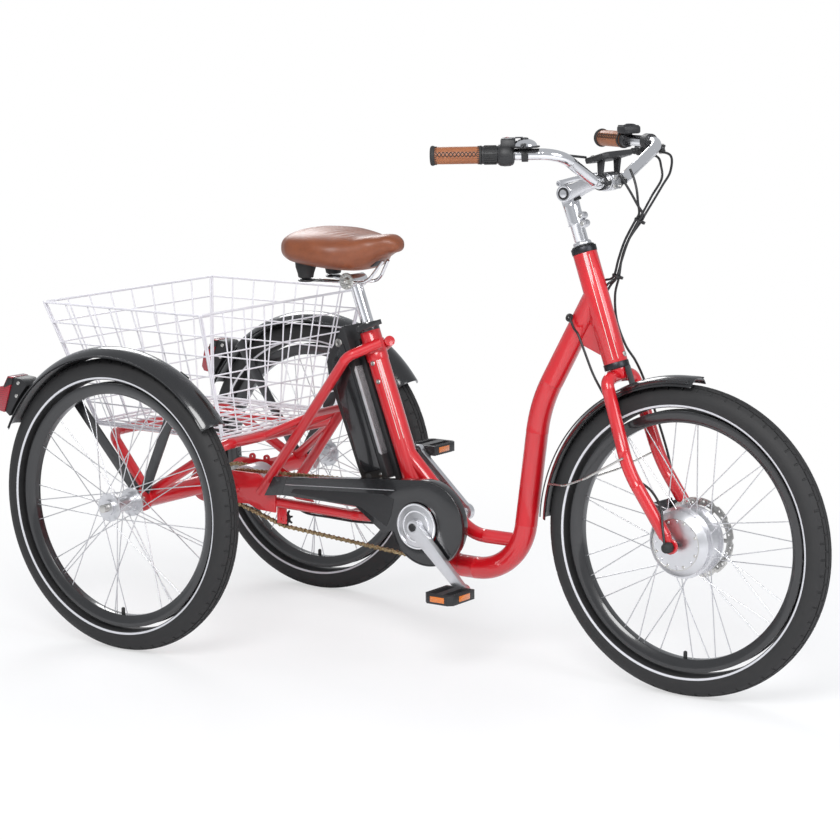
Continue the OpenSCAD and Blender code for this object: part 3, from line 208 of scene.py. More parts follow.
class Paint:
    """A material under construction: its tree, its shader and one method for nodes."""

    def __init__(self, name):
        self.material = bpy.data.materials.new(name)
        self.material.use_nodes = True
        self.tree = self.material.node_tree
        self.shader = self.tree.nodes["Principled BSDF"]

    def node(self, kind, inputs=None, out=0, **settings):
        made = self.tree.nodes.new("ShaderNode" + kind)
        for key, value in settings.items():
            if key == "stops":
                ramp = made.color_ramp
                while len(ramp.elements) < len(value):
                    ramp.elements.new(0.5)
                for element, (place, colour) in zip(ramp.elements, value):
                    element.position = place
                    element.color = (*colour, 1.0) if len(colour) == 3 else colour
            else:
                setattr(made, key, value)
        for key, value in (inputs or {}).items():
            if isinstance(value, Sock):
                self.tree.links.new(value.socket, made.inputs[key])
            else:
                made.inputs[key].default_value = value
        return Sock(self.tree, made.outputs[out])

    def place(self):
        """The point in the row frame, in metres."""
        return self.node("TexCoord", out=3)

    def xyz(self, vector=None):
        made = self.tree.nodes.new("ShaderNodeSeparateXYZ")
        self.tree.links.new((vector or self.place()).socket, made.inputs[0])
        return [Sock(self.tree, s) for s in made.outputs]

    def noise(self, scale, detail=3.0, rough=0.5, vector=None):
        return self.node("TexNoise", {"Vector": vector or self.place(), "Scale": scale,
                                      "Detail": detail, "Roughness": rough})

    def blend(self, factor, a, b):
        return self.node("Mix", {0: factor, 6: a, 7: b}, out=2, data_type="RGBA")

    def set(self, **values):
        names = {"color": "Base Color", "rough": "Roughness", "metal": "Metallic",
                 "coat": "Coat Weight", "coat_rough": "Coat Roughness", "normal": "Normal",
                 "specular": "Specular IOR Level"}
        for key, value in values.items():
            slot = self.shader.inputs[names[key]]
            if isinstance(value, Sock):
                self.tree.links.new(value.socket, slot)
            elif isinstance(value, tuple) and len(value) == 3:
                slot.default_value = (*value, 1.0)
            else:
                slot.default_value = value
        return self

    def bump(self, height, strength=0.3, distance=0.001):
        return self.set(normal=self.node("Bump", {"Height": height, "Strength": strength,
                                                  "Distance": distance}))


print("shader helpers ready")

# %% [markdown]
# The frame is steel under a deep red lacquer. Real lacquer is a colour coat
# under a clear coat: the coat gives the sharp highlight, a very fine ripple in
# it keeps the highlight from looking like glass, and a slow noise makes the
# colour a little deeper in places. The same paint in a pale tone makes the
# painted highlights on the tubes: pale lines where strip lamps would reflect.

# %% Red lacquer
def lacquer(name, colour, deep, rough=0.32):
    p = Paint(name)
    slow = p.noise(9.0, detail=2.0)
    p.set(color=p.blend(slow.step(0.5, 0.5), (*deep, 1), (*colour, 1)), metal=0.0,
          rough=rough + p.noise(60.0) * 0.06, coat=1.0, coat_rough=0.04)
    p.bump(p.noise(420.0, detail=2.0), strength=0.035, distance=0.0008)
    return p.material


RED = lacquer("red_lacquer", (0.62, 0.004, 0.012), (0.50, 0.002, 0.008))
print("made", RED.name)

# %% [markdown]
# Black parts come in three finishes: gloss lacquer on the rims and levers,
# smooth shiny moulding on the fenders and the guard, and a satin moulding with
# a fine spark texture on the battery, the pedals and the controls.

# %% Black finishes
def moulding(name, colour, rough, grain, depth, coat=0.0):
    p = Paint(name)
    worn = p.noise(35.0, detail=4.0)
    p.set(color=p.blend(worn, (*colour, 1), tuple(c * 1.5 + 0.004 for c in colour) + (1,)),
          rough=rough + worn * 0.1, coat=coat, coat_rough=0.06)
    p.bump(p.noise(grain, detail=3.0), strength=depth, distance=0.0006)
    return p.material


BLACK_PAINT = moulding("black_lacquer", (0.006, 0.006, 0.007), 0.25, 300.0, 0.03, coat=0.8)
GLOSS_BLACK = moulding("shiny_moulding", (0.008, 0.008, 0.009), 0.16, 160.0, 0.03, coat=0.6)
SATIN_BLACK = moulding("spark_moulding", (0.012, 0.012, 0.013), 0.42, 1500.0, 0.22)
SOFT_BLACK = moulding("soft_rubber", (0.014, 0.014, 0.014), 0.62, 900.0, 0.15)
# Grey moulding: the remote's own grey button, and also the painted highlight along the battery's
# front edge.
GREY_BUTTON_AND_EDGE_HIGHLIGHT = moulding("grey_button_and_edge_highlight", (0.32, 0.32, 0.33), 0.4, 900.0, 0.1)
print("black finishes:", 4, "and", GREY_BUTTON_AND_EDGE_HIGHLIGHT.name)

# %% [markdown]
# Bare metal differs mostly in how it scatters light. Polished aluminium on the
# bar and stem has a tight highlight, brushed and cast parts a wide one, and
# plated steel a slightly yellow one. A fine noise breaks every highlight and
# a larger one leaves faint handling marks in the roughness.

# %% Bare metals
def metal(name, colour, rough, grain=180.0, depth=0.05, marks=0.12):
    p = Paint(name)
    marked = p.noise(26.0, detail=5.0, rough=0.65)
    p.set(color=p.blend(marked, (*colour, 1), tuple(c * 0.86 for c in colour) + (1,)),
          metal=1.0, rough=rough + marked * marks)
    p.bump(p.noise(grain, detail=4.0), strength=depth, distance=0.0004)
    return p.material


POLISHED = metal("polished_metal", (0.86, 0.86, 0.88), 0.08, marks=0.08)
ALUMINIUM = metal("satin_aluminium", (0.74, 0.74, 0.76), 0.27, grain=700.0, depth=0.08)
PLATED = metal("plated_steel", (0.66, 0.65, 0.62), 0.22)
DARK_STEEL = metal("blackened_steel", (0.05, 0.05, 0.055), 0.32)
print("metals:", 4)

# %% [markdown]
# A chain that has just been oiled is brown and straw coloured steel: the
# plates are blued, the rollers are brighter, and grime lies in between. Its
# colour varies from link to link with a noise finer than a link.

# %% Chain steel
p = Paint("oiled_chain")
links = p.noise(260.0, detail=3.0)
p.set(color=p.node("ValToRGB", {"Fac": links}, stops=[(0.3, (0.10, 0.065, 0.035)),
                                                      (0.5, (0.34, 0.24, 0.13)),
                                                      (0.72, (0.60, 0.47, 0.28))]),
      metal=0.85, rough=0.28 + links * 0.2)
p.bump(links, strength=0.1, distance=0.0005)
CHAIN = p.material
print("made", CHAIN.name)

# %% [markdown]
# Tyre rubber is a warm black that scatters widely. A white reflective line
# runs round each side wall. It is drawn by distance from the wheel's own
# axis: the material is made once for each axle, because the distance is
# measured in the row's frame.

# %% Tyre rubber with its reflective line
STRIPE_RADIUS, STRIPE_WIDTH = 0.2705, 0.0040


def tyre_rubber(name, axle):
    p = Paint(name)
    x, y, z = p.xyz()
    dx, dz = x - axle.x, z - axle.z
    radius = (dx * dx + dz * dz).sqrt()
    line = radius.band(STRIPE_RADIUS - STRIPE_WIDTH / 2, STRIPE_RADIUS + STRIPE_WIDTH / 2, 0.0006)
    ribs = (radius * 900.0).sin() * radius.band(0.255, 0.292, 0.002) * (1 - line)
    dusty = p.noise(60.0, detail=5.0)
    rubber = p.blend(dusty, (0.011, 0.011, 0.012, 1), (0.022, 0.021, 0.021, 1))
    p.set(color=p.blend(line, rubber, (0.62, 0.62, 0.65, 1)),
          rough=0.60 + dusty * 0.12 - line * 0.25)
    p.bump(ribs * 0.35 + p.noise(1200.0) * 0.5, strength=0.12, distance=0.0006)
    return p.material


FRONT_RUBBER = tyre_rubber("front_rubber", FRONT_AXLE)
REAR_RUBBER = tyre_rubber("rear_rubber", REAR_AXLE)
print("tyre line at", STRIPE_RADIUS / MM, "mm")

# %% [markdown]
# The basket is wire dipped in a thick white coating. The coating pools into
# soft lumps at the welds, so its bump is large and gentle, and it is slightly
# grey where it is thin.

# %% White dipped wire
p = Paint("dipped_wire")
pool = p.noise(70.0, detail=3.0)
p.set(color=p.blend(pool, (0.83, 0.82, 0.85, 1), (0.70, 0.68, 0.73, 1)),
      rough=0.30 + pool * 0.15, coat=0.3)
p.bump(pool, strength=0.2, distance=0.0008)
WHITE_WIRE = p.material
print("made", WHITE_WIRE.name)

# %% [markdown]
# The saddle and the grips are brown leather. Leather has a cell pattern of
# fine wrinkles, which a Voronoi texture's edges give, over slow patches of
# lighter and darker tan, with a waxed shine where hands and trousers rub.

# %% Leather
def leather(name, light, dark, cell, depth, rough):
    p = Paint(name)
    wrinkle = p.node("TexVoronoi", {"Vector": p.place(), "Scale": cell},
                     feature="DISTANCE_TO_EDGE")
    patch = p.noise(22.0, detail=5.0, rough=0.6)
    hue = p.blend(patch.step(0.5, 0.6), (*dark, 1), (*light, 1))
    p.set(color=p.blend(wrinkle.step(0.03, 0.06), tuple(c * 0.55 for c in dark) + (1,), hue),
          rough=rough + patch * 0.15, coat=0.15, coat_rough=0.3)
    p.bump(wrinkle.low(0.12) * 6.0 + p.noise(500.0) * 0.4, strength=depth, distance=0.0006)
    return p.material


SADDLE_LEATHER = leather("saddle_leather", (0.30, 0.085, 0.028), (0.17, 0.042, 0.014),
                         620.0, 0.16, 0.34)
GRIP_LEATHER = leather("grip_leather", (0.42, 0.15, 0.055), (0.26, 0.08, 0.028),
                       700.0, 0.2, 0.42)
print("leathers:", 2)

# %% [markdown]
# Lenses are clear coloured plastic over a bright reflector. Seen in daylight
# they look like deep colour with a sharp gloss, so a thin coat over a strong
# colour with fine ribs stands for them without slow refraction.

# %% Lenses and reflectors
def lens(name, colour, ribs):
    p = Paint(name)
    x, y, z = p.xyz()
    rib = (z * ribs).sin() * (y * ribs).sin()
    p.set(color=p.blend(rib * 0.5 + 0.5, tuple(c * 0.55 for c in colour) + (1,), (*colour, 1)),
          rough=0.12, coat=1.0, coat_rough=0.03)
    p.bump(rib, strength=0.25, distance=0.0006)
    return p.material


RED_LENS = lens("red_lens", (0.42, 0.006, 0.022), 1400.0)
AMBER_LENS = lens("amber_lens", (0.85, 0.22, 0.02), 2200.0)
DARK_GLASS = moulding("display_glass", (0.010, 0.012, 0.014), 0.05, 60.0, 0.01, coat=1.0)
print("lenses:", 3)

# %% [markdown]
# The CAD nodes that keep their own shape only need a finish and a softened
# edge. Their vertices are merged, a hair of bevel catches the light along
# each sharp edge, and the faces are then split at the edges that stay sharp,
# so that round tubes shade smoothly. The modifiers leave the CAD mesh itself
# untouched. Fine wire and cables are too thin for a bevel.

# %% Finish for the CAD nodes
NODE_BEVEL, WELD_GAP = 0.0004, 0.00001


def finish_node(name, material, bevel, angle=34.0):
    node = nodes[name]
    node.data.materials.clear()
    node.data.materials.append(material)
    for poly in node.data.polygons:
        poly.use_smooth = True
        poly.material_index = 0
    node.modifiers.new("weld", "WELD").merge_threshold = WELD_GAP
    if bevel:
        soft = node.modifiers.new("edge", "BEVEL")
        soft.width, soft.segments = bevel, 2
        soft.limit_method, soft.angle_limit = "ANGLE", math.radians(angle)
        soft.harden_normals = False
    node.modifiers.new("split", "EDGE_SPLIT").split_angle = math.radians(angle)


FINISH = {
    RED: ["down_tube", "seat_tube", "rear_stays", "axle_beam", "carrier", "fork"],
    BLACK_PAINT: ["fender_stays", "seat_collar", "front_rim", "right_rim", "left_rim",
                  "brake_lever", "brake_caliper", "seat_lever"],
    GLOSS_BLACK: ["right_fender", "left_fender", "front_fender", "chain_guard"],
    SATIN_BLACK: ["tail_lamps", "battery", "battery_rail", "bar_controls", "display",
                  "shifter_collar", "bell_lever", "right_pedal", "left_pedal", "idler"],
    SOFT_BLACK: ["steer_cables", "bar_cables", "fork_cables", "stay_cable"],
    DARK_STEEL: ["headset", "motor_axle", "chainring"],
    ALUMINIUM: ["crankset", "motor_hub", "right_hub", "left_hub", "gear_hub"],
    POLISHED: ["stem_post", "stem_head", "handlebar", "stem_lever", "seatpost", "bell"],
    PLATED: ["fender_wires", "rear_axle", "brake_disc"],
    WHITE_WIRE: ["basket_floor", "basket_sides", "basket_ends"],
    CHAIN: ["chains"],
    FRONT_RUBBER: ["front_tyre"],
    REAR_RUBBER: ["right_tyre", "left_tyre"],
    SADDLE_LEATHER: ["saddle"],
    GRIP_LEATHER: ["grips"],
    RED_LENS: ["tail_lenses"],
    GREY_BUTTON_AND_EDGE_HIGHLIGHT: ["remote_button"],
}
NO_BEVEL = {"chains", "basket_floor", "basket_sides", "basket_ends", "steer_cables",
            "bar_cables", "fork_cables", "stay_cable", "saddle", "right_hub", "left_hub",
            "motor_hub"}
for material, names in FINISH.items():
    for name in names:
        finish_node(name, material, bevel=0.0 if name in NO_BEVEL else NODE_BEVEL)
print("finished nodes:", sum(len(v) for v in FINISH.values()))

# %% [markdown]
# Added pieces are built as meshes in the frame's own metres, so each stays
# where it was made and only has to be told which body it rides on. Most of
# them are turned or pressed parts. A bench is a matrix that stands a piece's
# own Z along an axis of the tricycle. A turned part revolves a profile of
# radius and height round Z, and a pressed part is an outline with a
# thickness.

# %% Workbench for added pieces
# An outline in (X, Z), with its thickness along Y.
SIDE_VIEW = Matrix(((1, 0, 0, 0), (0, 0, 1, 0), (0, 1, 0, 0), (0, 0, 0, 1)))


def bench(origin, axis, side=UP):
    """A matrix at origin whose Z runs along axis and whose X leans towards side."""
    z = Vector(axis).normalized()
    x = (Vector(side) - Vector(side).dot(z) * z).normalized()
    matrix = Matrix((x, z.cross(x), z)).transposed().to_4x4()
    matrix.translation = origin
    return matrix


def placed(name, data, material):
    """Puts mesh or curve data into the scene as an object with one material."""
    piece = bpy.data.objects.new(name, data)
    scene.collection.objects.link(piece)
    data.materials.append(material)
    return piece


def mesh_of(name, bm):
    bmesh.ops.recalc_face_normals(bm, faces=bm.faces)
    mesh = bpy.data.meshes.new(name)
    bm.to_mesh(mesh)
    bm.free()
    return mesh


def finish_piece(name, bm, material, body, bevel=0.0, angle=34.0):
    """Makes a piece of a closed bmesh, gives it a finish and rides it on a body."""
    bmesh.ops.remove_doubles(bm, verts=bm.verts, dist=1e-6)
    piece = placed(name, mesh_of(name, bm), material)
    for poly in piece.data.polygons:
        poly.use_smooth = True
    if bevel:
        soft = piece.modifiers.new("edge", "BEVEL")
        soft.width, soft.segments = bevel, 2
        soft.limit_method, soft.angle_limit = "ANGLE", math.radians(angle)
    piece.modifiers.new("split", "EDGE_SPLIT").split_angle = math.radians(angle)
    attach(piece, body)
    return piece


def ring(bm, at, points):
    return [bm.verts.new(at @ Vector(point)) for point in points]


def skin(bm, rings, capped=True):
    """Joins rings of equal length into a tube and closes its two ends."""
    for low, high in zip(rings, rings[1:]):
        count = len(low)
        for k in range(count):
            bm.faces.new((low[k], low[(k + 1) % count], high[(k + 1) % count], high[k]))
    if capped:
        bm.faces.new(rings[0])
        bm.faces.new(rings[-1])


def unit_circle(steps):
    return [(math.cos(math.tau * k / steps), math.sin(math.tau * k / steps))
            for k in range(steps)]


def turned(bm, at, profile, steps=40):
    """A closed turned part: profile is (radius, height) from its foot to its top."""
    circle = unit_circle(steps)
    skin(bm, [ring(bm, at, [(radius * c, radius * s, height) for c, s in circle])
              for radius, height in profile])


def pressed(bm, at, outline, low, high):
    """A flat part: its outline, between two heights."""
    skin(bm, [ring(bm, at, [(x, y, z) for x, y in outline]) for z in (low, high)])


def box_outline(x_low, x_high, y_low, y_high):
    return [(x_low, y_low), (x_high, y_low), (x_high, y_high), (x_low, y_high)]


def sleeve(bm, at, bore, radius, low, high, steps=40):
    """A tube with a bore, such as a collar or a washer."""
    circle = unit_circle(steps)
    loops = [ring(bm, at, [(r * c, r * s, z) for c, s in circle])
             for r, z in ((bore, low), (radius, low), (radius, high), (bore, high))]
    skin(bm, loops + loops[:1], capped=False)


def arc(centre, radius, start, end, steps=8):
    """Points of an arc, in degrees, from start to end."""
    angles = [math.radians(start + (end - start) * k / steps) for k in range(steps + 1)]
    return [(centre[0] + radius * math.cos(a), centre[1] + radius * math.sin(a)) for a in angles]


def smooth_line(points, steps=8):
    """A Catmull-Rom curve through the points."""
    points = [Vector(p) for p in points]
    line = []
    for k in range(len(points) - 1):
        a, b = points[max(k - 1, 0)], points[k]
        c, d = points[k + 1], points[min(k + 2, len(points) - 1)]
        for j in range(steps):
            t = j / steps
            line.append(0.5 * (2 * b + (c - a) * t + (2 * a - 5 * b + 4 * c - d) * t * t
                               + (3 * b - a - 3 * c + d) * t ** 3))
    return line + [points[-1]]


def wire_piece(name, runs, radius, material, body):
    """A piece of round wire: each run is a list of points."""
    curve = bpy.data.curves.new(name, "CURVE")
    curve.dimensions, curve.bevel_depth, curve.bevel_resolution = "3D", radius, 3
    curve.use_fill_caps = True
    for points in runs:
        spline = curve.splines.new("POLY")
        spline.points.add(len(points) - 1)
        for slot_point, point in zip(spline.points, points):
            slot_point.co = (*point, 1.0)
    piece = placed(name, curve, material)
    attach(piece, body)
    return piece


print("bench ready")

# %% [markdown]
# The saddle is a wide cruiser cushion: leather glued over moulded foam on a
# stiff shell. It has no free cloth, so a cloth simulation would only inflate
# it, and the drawn skin over the foam is better made as a loft. Each station
# along its length has a half width, an underside and a crown. Between the
# stations the line is smooth. The skin is fullest at the sides, rolls under
# at the skirt, and carries shallow heat-pressed channels that run slantwise
# over the seat.

# %% Saddle cushion
pad_low, pad_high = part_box("saddle")
PAD_LENGTH = pad_high.x - pad_low.x
PAD_HALF = pad_high.y
PAD_TOP = pad_high.z
PAD_DEPTH = 0.085
# (share of length from the tail, half width, skirt height, crown height)
PAD_STATIONS = [(0.000, 0.40, 0.42, 0.64), (0.012, 0.56, 0.30, 0.78), (0.045, 0.74, 0.20, 0.88),
                (0.110, 0.88, 0.13, 0.955), (0.190, 0.97, 0.09, 0.99), (0.390, 1.0, 0.03, 0.99),
                (0.570, 0.90, 0.0, 0.92), (0.690, 0.68, 0.03, 0.865), (0.790, 0.40, 0.22, 0.89),
                (0.910, 0.26, 0.43, 0.915), (0.975, 0.18, 0.50, 0.83), (1.000, 0.09, 0.58, 0.72)]
CHANNEL_PITCH, CHANNEL_DEPTH, AROUND = 0.0165, 0.0017, 96


def power(value, exponent):
    return math.copysign(abs(value) ** exponent, value)


def channel_depth(x, y, along, side):
    """How far the pressed channels sink at a point of the crown."""
    wave = math.cos(math.tau * (x - 0.32 * y) / CHANNEL_PITCH)
    groove = max(0.0, wave) ** 3
    fade = min(1.0, max(0.0, (along - 0.07) / 0.07)) * min(1.0, max(0.0, (0.66 - along) / 0.12))
    inside = min(1.0, max(0.0, (0.66 - abs(side)) / 0.14))
    return CHANNEL_DEPTH * groove * fade * inside


bm = bmesh.new()
stations = smooth_line([(s[0], s[1], 0) for s in PAD_STATIONS], 12)
heights = smooth_line([(s[2], s[3], 0) for s in PAD_STATIONS], 12)
rings = []
for (along, width, _), (skirt, crown, _) in zip(stations, heights):
    points = []
    middle, half = (skirt + crown) / 2, (crown - skirt) / 2
    for k in range(AROUND):
        turn = math.tau * k / AROUND
        out, lift = power(math.cos(turn), 0.80), power(math.sin(turn), 0.72)
        x = pad_low.x + PAD_LENGTH * along
        y = PAD_HALF * width * out * (1.0 - 0.05 * max(0.0, lift) ** 2)
        z = PAD_TOP - PAD_DEPTH * (1 - middle - half * lift)
        if lift > 0.2:
            z -= channel_depth(x, y, along, out)
        points.append((x, y, z))
    rings.append(ring(bm, Matrix.Identity(4), points))
skin(bm, rings)
saddle = finish_piece("saddle_cushion", bm, SADDLE_LEATHER, "seat", angle=80.0)
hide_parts("saddle")
print("saddle", [round(v, 3) for v in saddle.dimensions])

# %% [markdown]
# Under the cushion stand two black rubber bumpers, on a flat black bridge
# between the rails. A tongue under the nose holds the rails' front ends. A
# clamp with a ribbed eye and a hexagon nut holds the rails on the post.

# %% Saddle fittings
BUMPER_X, BUMPER_Y = -0.092, 0.048
CLAMP = Vector((pad_high.x - 0.119, 0.0, PAD_TOP - PAD_DEPTH - 0.023))
bm = bmesh.new()
for side in (-1, 1):
    foot = Matrix.Translation(CLAMP + Vector((BUMPER_X, side * BUMPER_Y, 0.0038)))
    turned(bm, foot, [(0.0135, 0.0), (0.016, 0.0015), (0.0175, 0.010), (0.0215, 0.022),
                      (0.0225, 0.034), (0.020, 0.044)])
finish_piece("saddle_bumpers", bm, SOFT_BLACK, "seat", bevel=0.0006)
bm = bmesh.new()
for side in (-1, 1):
    plate = bench(CLAMP + Vector((BUMPER_X, side * BUMPER_Y, -0.0045)), UP, FORWARD)
    turned(bm, plate, [(0.014, 0.0), (0.0165, 0.0012), (0.0165, 0.0042), (0.014, 0.0054)])
    drift = -0.030 * side
    pressed(bm, plate, [(0.0, -0.007), (0.072, drift - 0.006), (0.086, drift - 0.004),
                        (0.086, drift + 0.004), (0.072, drift + 0.006), (0.0, 0.007)],
            0.0010, 0.0040)
finish_piece("saddle_bridge", bm, BLACK_PAINT, "seat", bevel=0.0006)
bm = bmesh.new()
x0, z0 = CLAMP.x, CLAMP.z
outline = ([(x0 + 0.098, z0 + 0.066), (x0 + 0.076, z0 + 0.062), (x0 + 0.064, z0 + 0.054)]
           + arc((x0 + 0.052, z0 + 0.040), 0.0085, 150, 290, 8)
           + [(x0 + 0.070, z0 + 0.045), (x0 + 0.084, z0 + 0.057)])
pressed(bm, SIDE_VIEW, outline, -0.015, 0.015)
finish_piece("saddle_tongue", bm, SATIN_BLACK, "seat", bevel=0.003)
bm = bmesh.new()
eye = bench(CLAMP, -LEFT)
sleeve(bm, eye, 0.006, 0.0175, 0.0268, 0.0308)
for k in range(12):
    turn = math.tau * k / 12
    tooth = eye @ Matrix.Rotation(turn, 4, "Z") @ Matrix.Translation((0.0135, 0, 0))
    pressed(bm, tooth, [(-0.003, -0.0014), (0.003, -0.0018), (0.003, 0.0018), (-0.003, 0.0014)],
            0.0300, 0.0322)
pressed(bm, eye, [(0.0078 * c, 0.0078 * s) for c, s in unit_circle(6)], 0.0300, 0.0362)
turned(bm, eye, [(0.0038, 0.0355), (0.0038, 0.0395), (0.0028, 0.0402)], 20)
finish_piece("saddle_clamp_eye", bm, PLATED, "seat", bevel=0.0004)
print("saddle fittings on", CLAMP[:])

# %% [markdown]
# Black control cables leave the bar, meet at a tie in front of the stem, meet
# again at a second tie and then go into the frame or down the fork. A cable
# is a round tube along a smooth line through the points of its route, made as
# a mesh. The cables that cross the steering are fixed where they lie and ride
# on no body. Each one's length is the length of its own line.

# %% Cable routes and tubes
CABLE_RADIUS = 0.0025
BAR_TIE, HEAD_TIE = Vector((1021, 45, 927)), Vector((978, 34, 814))
TIE_SPOTS = [Vector(p) for p in ((6, 5, 0), (-2, 6, 0), (4, -4, 0), (-5, -2, 0))]
TUBE_SIDES = 12


def metres(point):
    """A point given in millimetres from the rear axle's foot, in the frame's metres."""
    return Vector((point[0] * MM + REAR_AXLE.x, point[1] * MM, point[2] * MM))


def cable(name, route, body, bends_to=None, replaces=()):
    """A cable along a route that rides on body. With bends_to it is only fixed in place and rides on
    no body.
    """
    line = smooth_line([metres(p) for p in route], 10)
    bm = bmesh.new()
    ahead = (line[1] - line[0]).normalized()
    out = ahead.orthogonal().normalized()
    rings = []
    for k, point in enumerate(line):
        ahead = (line[min(k + 1, len(line) - 1)] - line[max(k - 1, 0)]).normalized()
        out = (out - out.dot(ahead) * ahead).normalized()
        side = ahead.cross(out)
        rings.append(ring(bm, Matrix.Identity(4), [point + CABLE_RADIUS * (c * out + s * side)
                                                   for c, s in unit_circle(TUBE_SIDES)]))
    skin(bm, rings)
    piece = placed(name, mesh_of(name, bm), CABLE_RUBBER)
    for poly in piece.data.polygons:
        poly.use_smooth = len(poly.vertices) == 4
    if bends_to:
        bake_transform(piece)
    else:
        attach(piece, body)
    length = sum((b - a).length for a, b in zip(line, line[1:]))
    if replaces:
        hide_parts(*replaces)
    cable_lengths[name] = length
    return piece


cable_lengths = {}
CABLE_RUBBER = moulding("cable_sheath", (0.010, 0.010, 0.011), 0.30, 900.0, 0.05)
print("cable radius", CABLE_RADIUS / MM, "mm")

# %% [markdown]
# Five cables start on the bar: two at the brake bracket, two at the display,
# and the shift line, which runs along the bar to the display. The other four
# drop in loops to the first tie. The brake line for the disc carries on down
# the fork, and three go into the head tube. The motor's lead leaves the down
# tube and crosses to the fork, and the gear cable runs under the chainstay.

# %% Cables of the bar, the steering and the fork
bar_routes = [
    [(920, 226, 1048.9), (975, 213.5, 1048.9), (1005, 200, 1041), (1020, 170, 1013),
     (1026, 130, 990), (1032, 88, 966)],
    [(915, 222, 1046), (968, 206, 1040), (990, 186, 1022), (1012, 150, 1000), (1020, 100, 972)],
    [(992.5, 4, 1022.4), (1005, 8, 1011), (1019, 18, 984), (1027, 32, 958)],
    [(1000, 48, 1026), (1010, 46, 1008), (1019, 42, 986), (1022, 42, 962)]]
for number, (route, spot) in enumerate(zip(bar_routes, TIE_SPOTS)):
    ends = [BAR_TIE + spot + Vector((7, 2, 14)), BAR_TIE + spot + Vector((0.55, 0, 1.1))]
    stands_for = () if number else ("bar_cables",)
    cable("bar_cable_%d" % number, route + ends, "handlebar", bends_to="fork",
          replaces=stands_for)
cable("shift_line_on_bar", [(901.1, -220.8, 1068.2), (911, -213.3, 1068.6), (921, -206.6, 1069),
                            (935, -197, 1070), (952, -140, 1064), (962, -56, 1054)],
      "handlebar")
head_entries = [(953, 27, 784), (961.5, 25.9, 784), (943, 26.4, 790)]
for number, (spot, entry) in enumerate(zip(TIE_SPOTS[1:], head_entries)):
    cable("steer_cable_%d" % number,
          [BAR_TIE + spot, Vector((1000, 41, 887)) + spot, Vector((988, 37, 850)) + spot,
           HEAD_TIE + spot, Vector(entry) + Vector((8, 4, 15)), entry],
          "fork", bends_to="frame", replaces=() if number else ("steer_cables",))
cable("motor_lead_upper", [(908, -26, 736), (922, -33, 716), (937, -40, 704), (953, -42, 672),
                           (972, -40, 628), (994, -35, 588)], "frame", bends_to="fork")
cable("disc_brake_line", [BAR_TIE + TIE_SPOTS[0], (1002, 42, 889), (989, 38, 852),
                          HEAD_TIE + Vector((5, 3, 0)), (972, 41, 777), (972, 48, 726),
                          (989, 54, 677), (1006, 66, 644), (1020, 80, 600), (1050, 84, 520),
                          (1074, 84, 450), (1084, 80, 400)], "fork", replaces=("fork_cables",))
cable("motor_lead_lower", [(994.2, -35, 587.7), (1014, -35, 556), (1040, -39, 500),
                           (1066, -44, 440), (1110, -48, 412), (1138, -60, 384),
                           (1152, -75.2, 347), (1160, -82, 318)], "fork")
cable("hub_shift_line", [(165, -42.5, 289), (205, -40.9, 288), (240, -43.8, 276.5),
                         (275, -53.4, 271.8), (330, -51.9, 270.2), (390, -50.3, 268.3),
                         (430, -43.8, 268.8), (450, -39.6, 269.4)], "frame",
      replaces=("stay_cable",))
for name, length in cable_lengths.items():
    print(name, round(length, 3), "m")

# %% [markdown]
# Plastic ties hold the bundle in two places: a narrow band round the cables
# with a small square lock. They ride where the cables do.

# %% Cable ties
bm = bmesh.new()
for centre, slope in ((BAR_TIE + Vector((1, 1, 0)), (0.42, 0.08, 1.0)),
                      (HEAD_TIE + Vector((1, 1, 2)), (0.30, 0.08, 1.0))):
    tie = bench(metres(centre), slope, FORWARD)
    oval = [(0.0098 * c, 0.0086 * s) for c, s in unit_circle(24)]
    inner = [(x * 0.86, y * 0.86) for x, y in oval]
    loops = [ring(bm, tie, [(x, y, z) for x, y in line])
             for line, z in ((inner, -0.002), (oval, -0.002), (oval, 0.002), (inner, 0.002))]
    skin(bm, loops + loops[:1], capped=False)
    pressed(bm, tie, box_outline(0.0085, 0.0140, -0.003, 0.003), -0.0028, 0.0028)
finish_piece("cable_ties", bm, SATIN_BLACK, "fork", bevel=0.0003)
print("ties: 2")

# %% [markdown]
# Each end of the bar is a straight length of tube, and everything on it is
# placed by its distance back from the bar's end. A bench there has its Z
# towards the end of the bar, its X downwards and its Y across the bar. The
# leather grips are laced: a row of crossed threads closes the seam, black
# thread binds both ends, and a dark ring finishes the outer one.

# %% Grip lacing and rings
BAR_RISE, BAR_BACK = Vector((0.100, 0.190, 0.092)), Vector((-0.109, 0.308, 0.088))
GRIP_LENGTH, GRIP_RADIUS, BAR_RADIUS = 0.092, 0.0165, 0.0111
THREAD, LACES, BINDING_STEPS, COLLAR_RIBS = 0.0007, 11, 26, 22


def bar_bench(side, back):
    """The bench on one end of the bar, at a distance back from its end."""
    mirror = Vector((1, side, 1))
    out = ((BAR_BACK - BAR_RISE) * mirror).normalized()
    tilt, turn = math.acos(out.z), math.atan2(out.y, out.x)
    x = Vector((math.cos(tilt) * math.cos(turn), math.cos(tilt) * math.sin(turn), -math.sin(tilt)))
    y = Vector((-math.sin(turn), math.cos(turn), 0.0))
    matrix = Matrix((x, y, out)).transposed().to_4x4()
    matrix.translation = STEM_PIVOT + BAR_BACK * mirror - out * back
    return matrix


def on_tube(at, radius, turn, height):
    return at @ Vector((radius * math.cos(turn), radius * math.sin(turn), height))


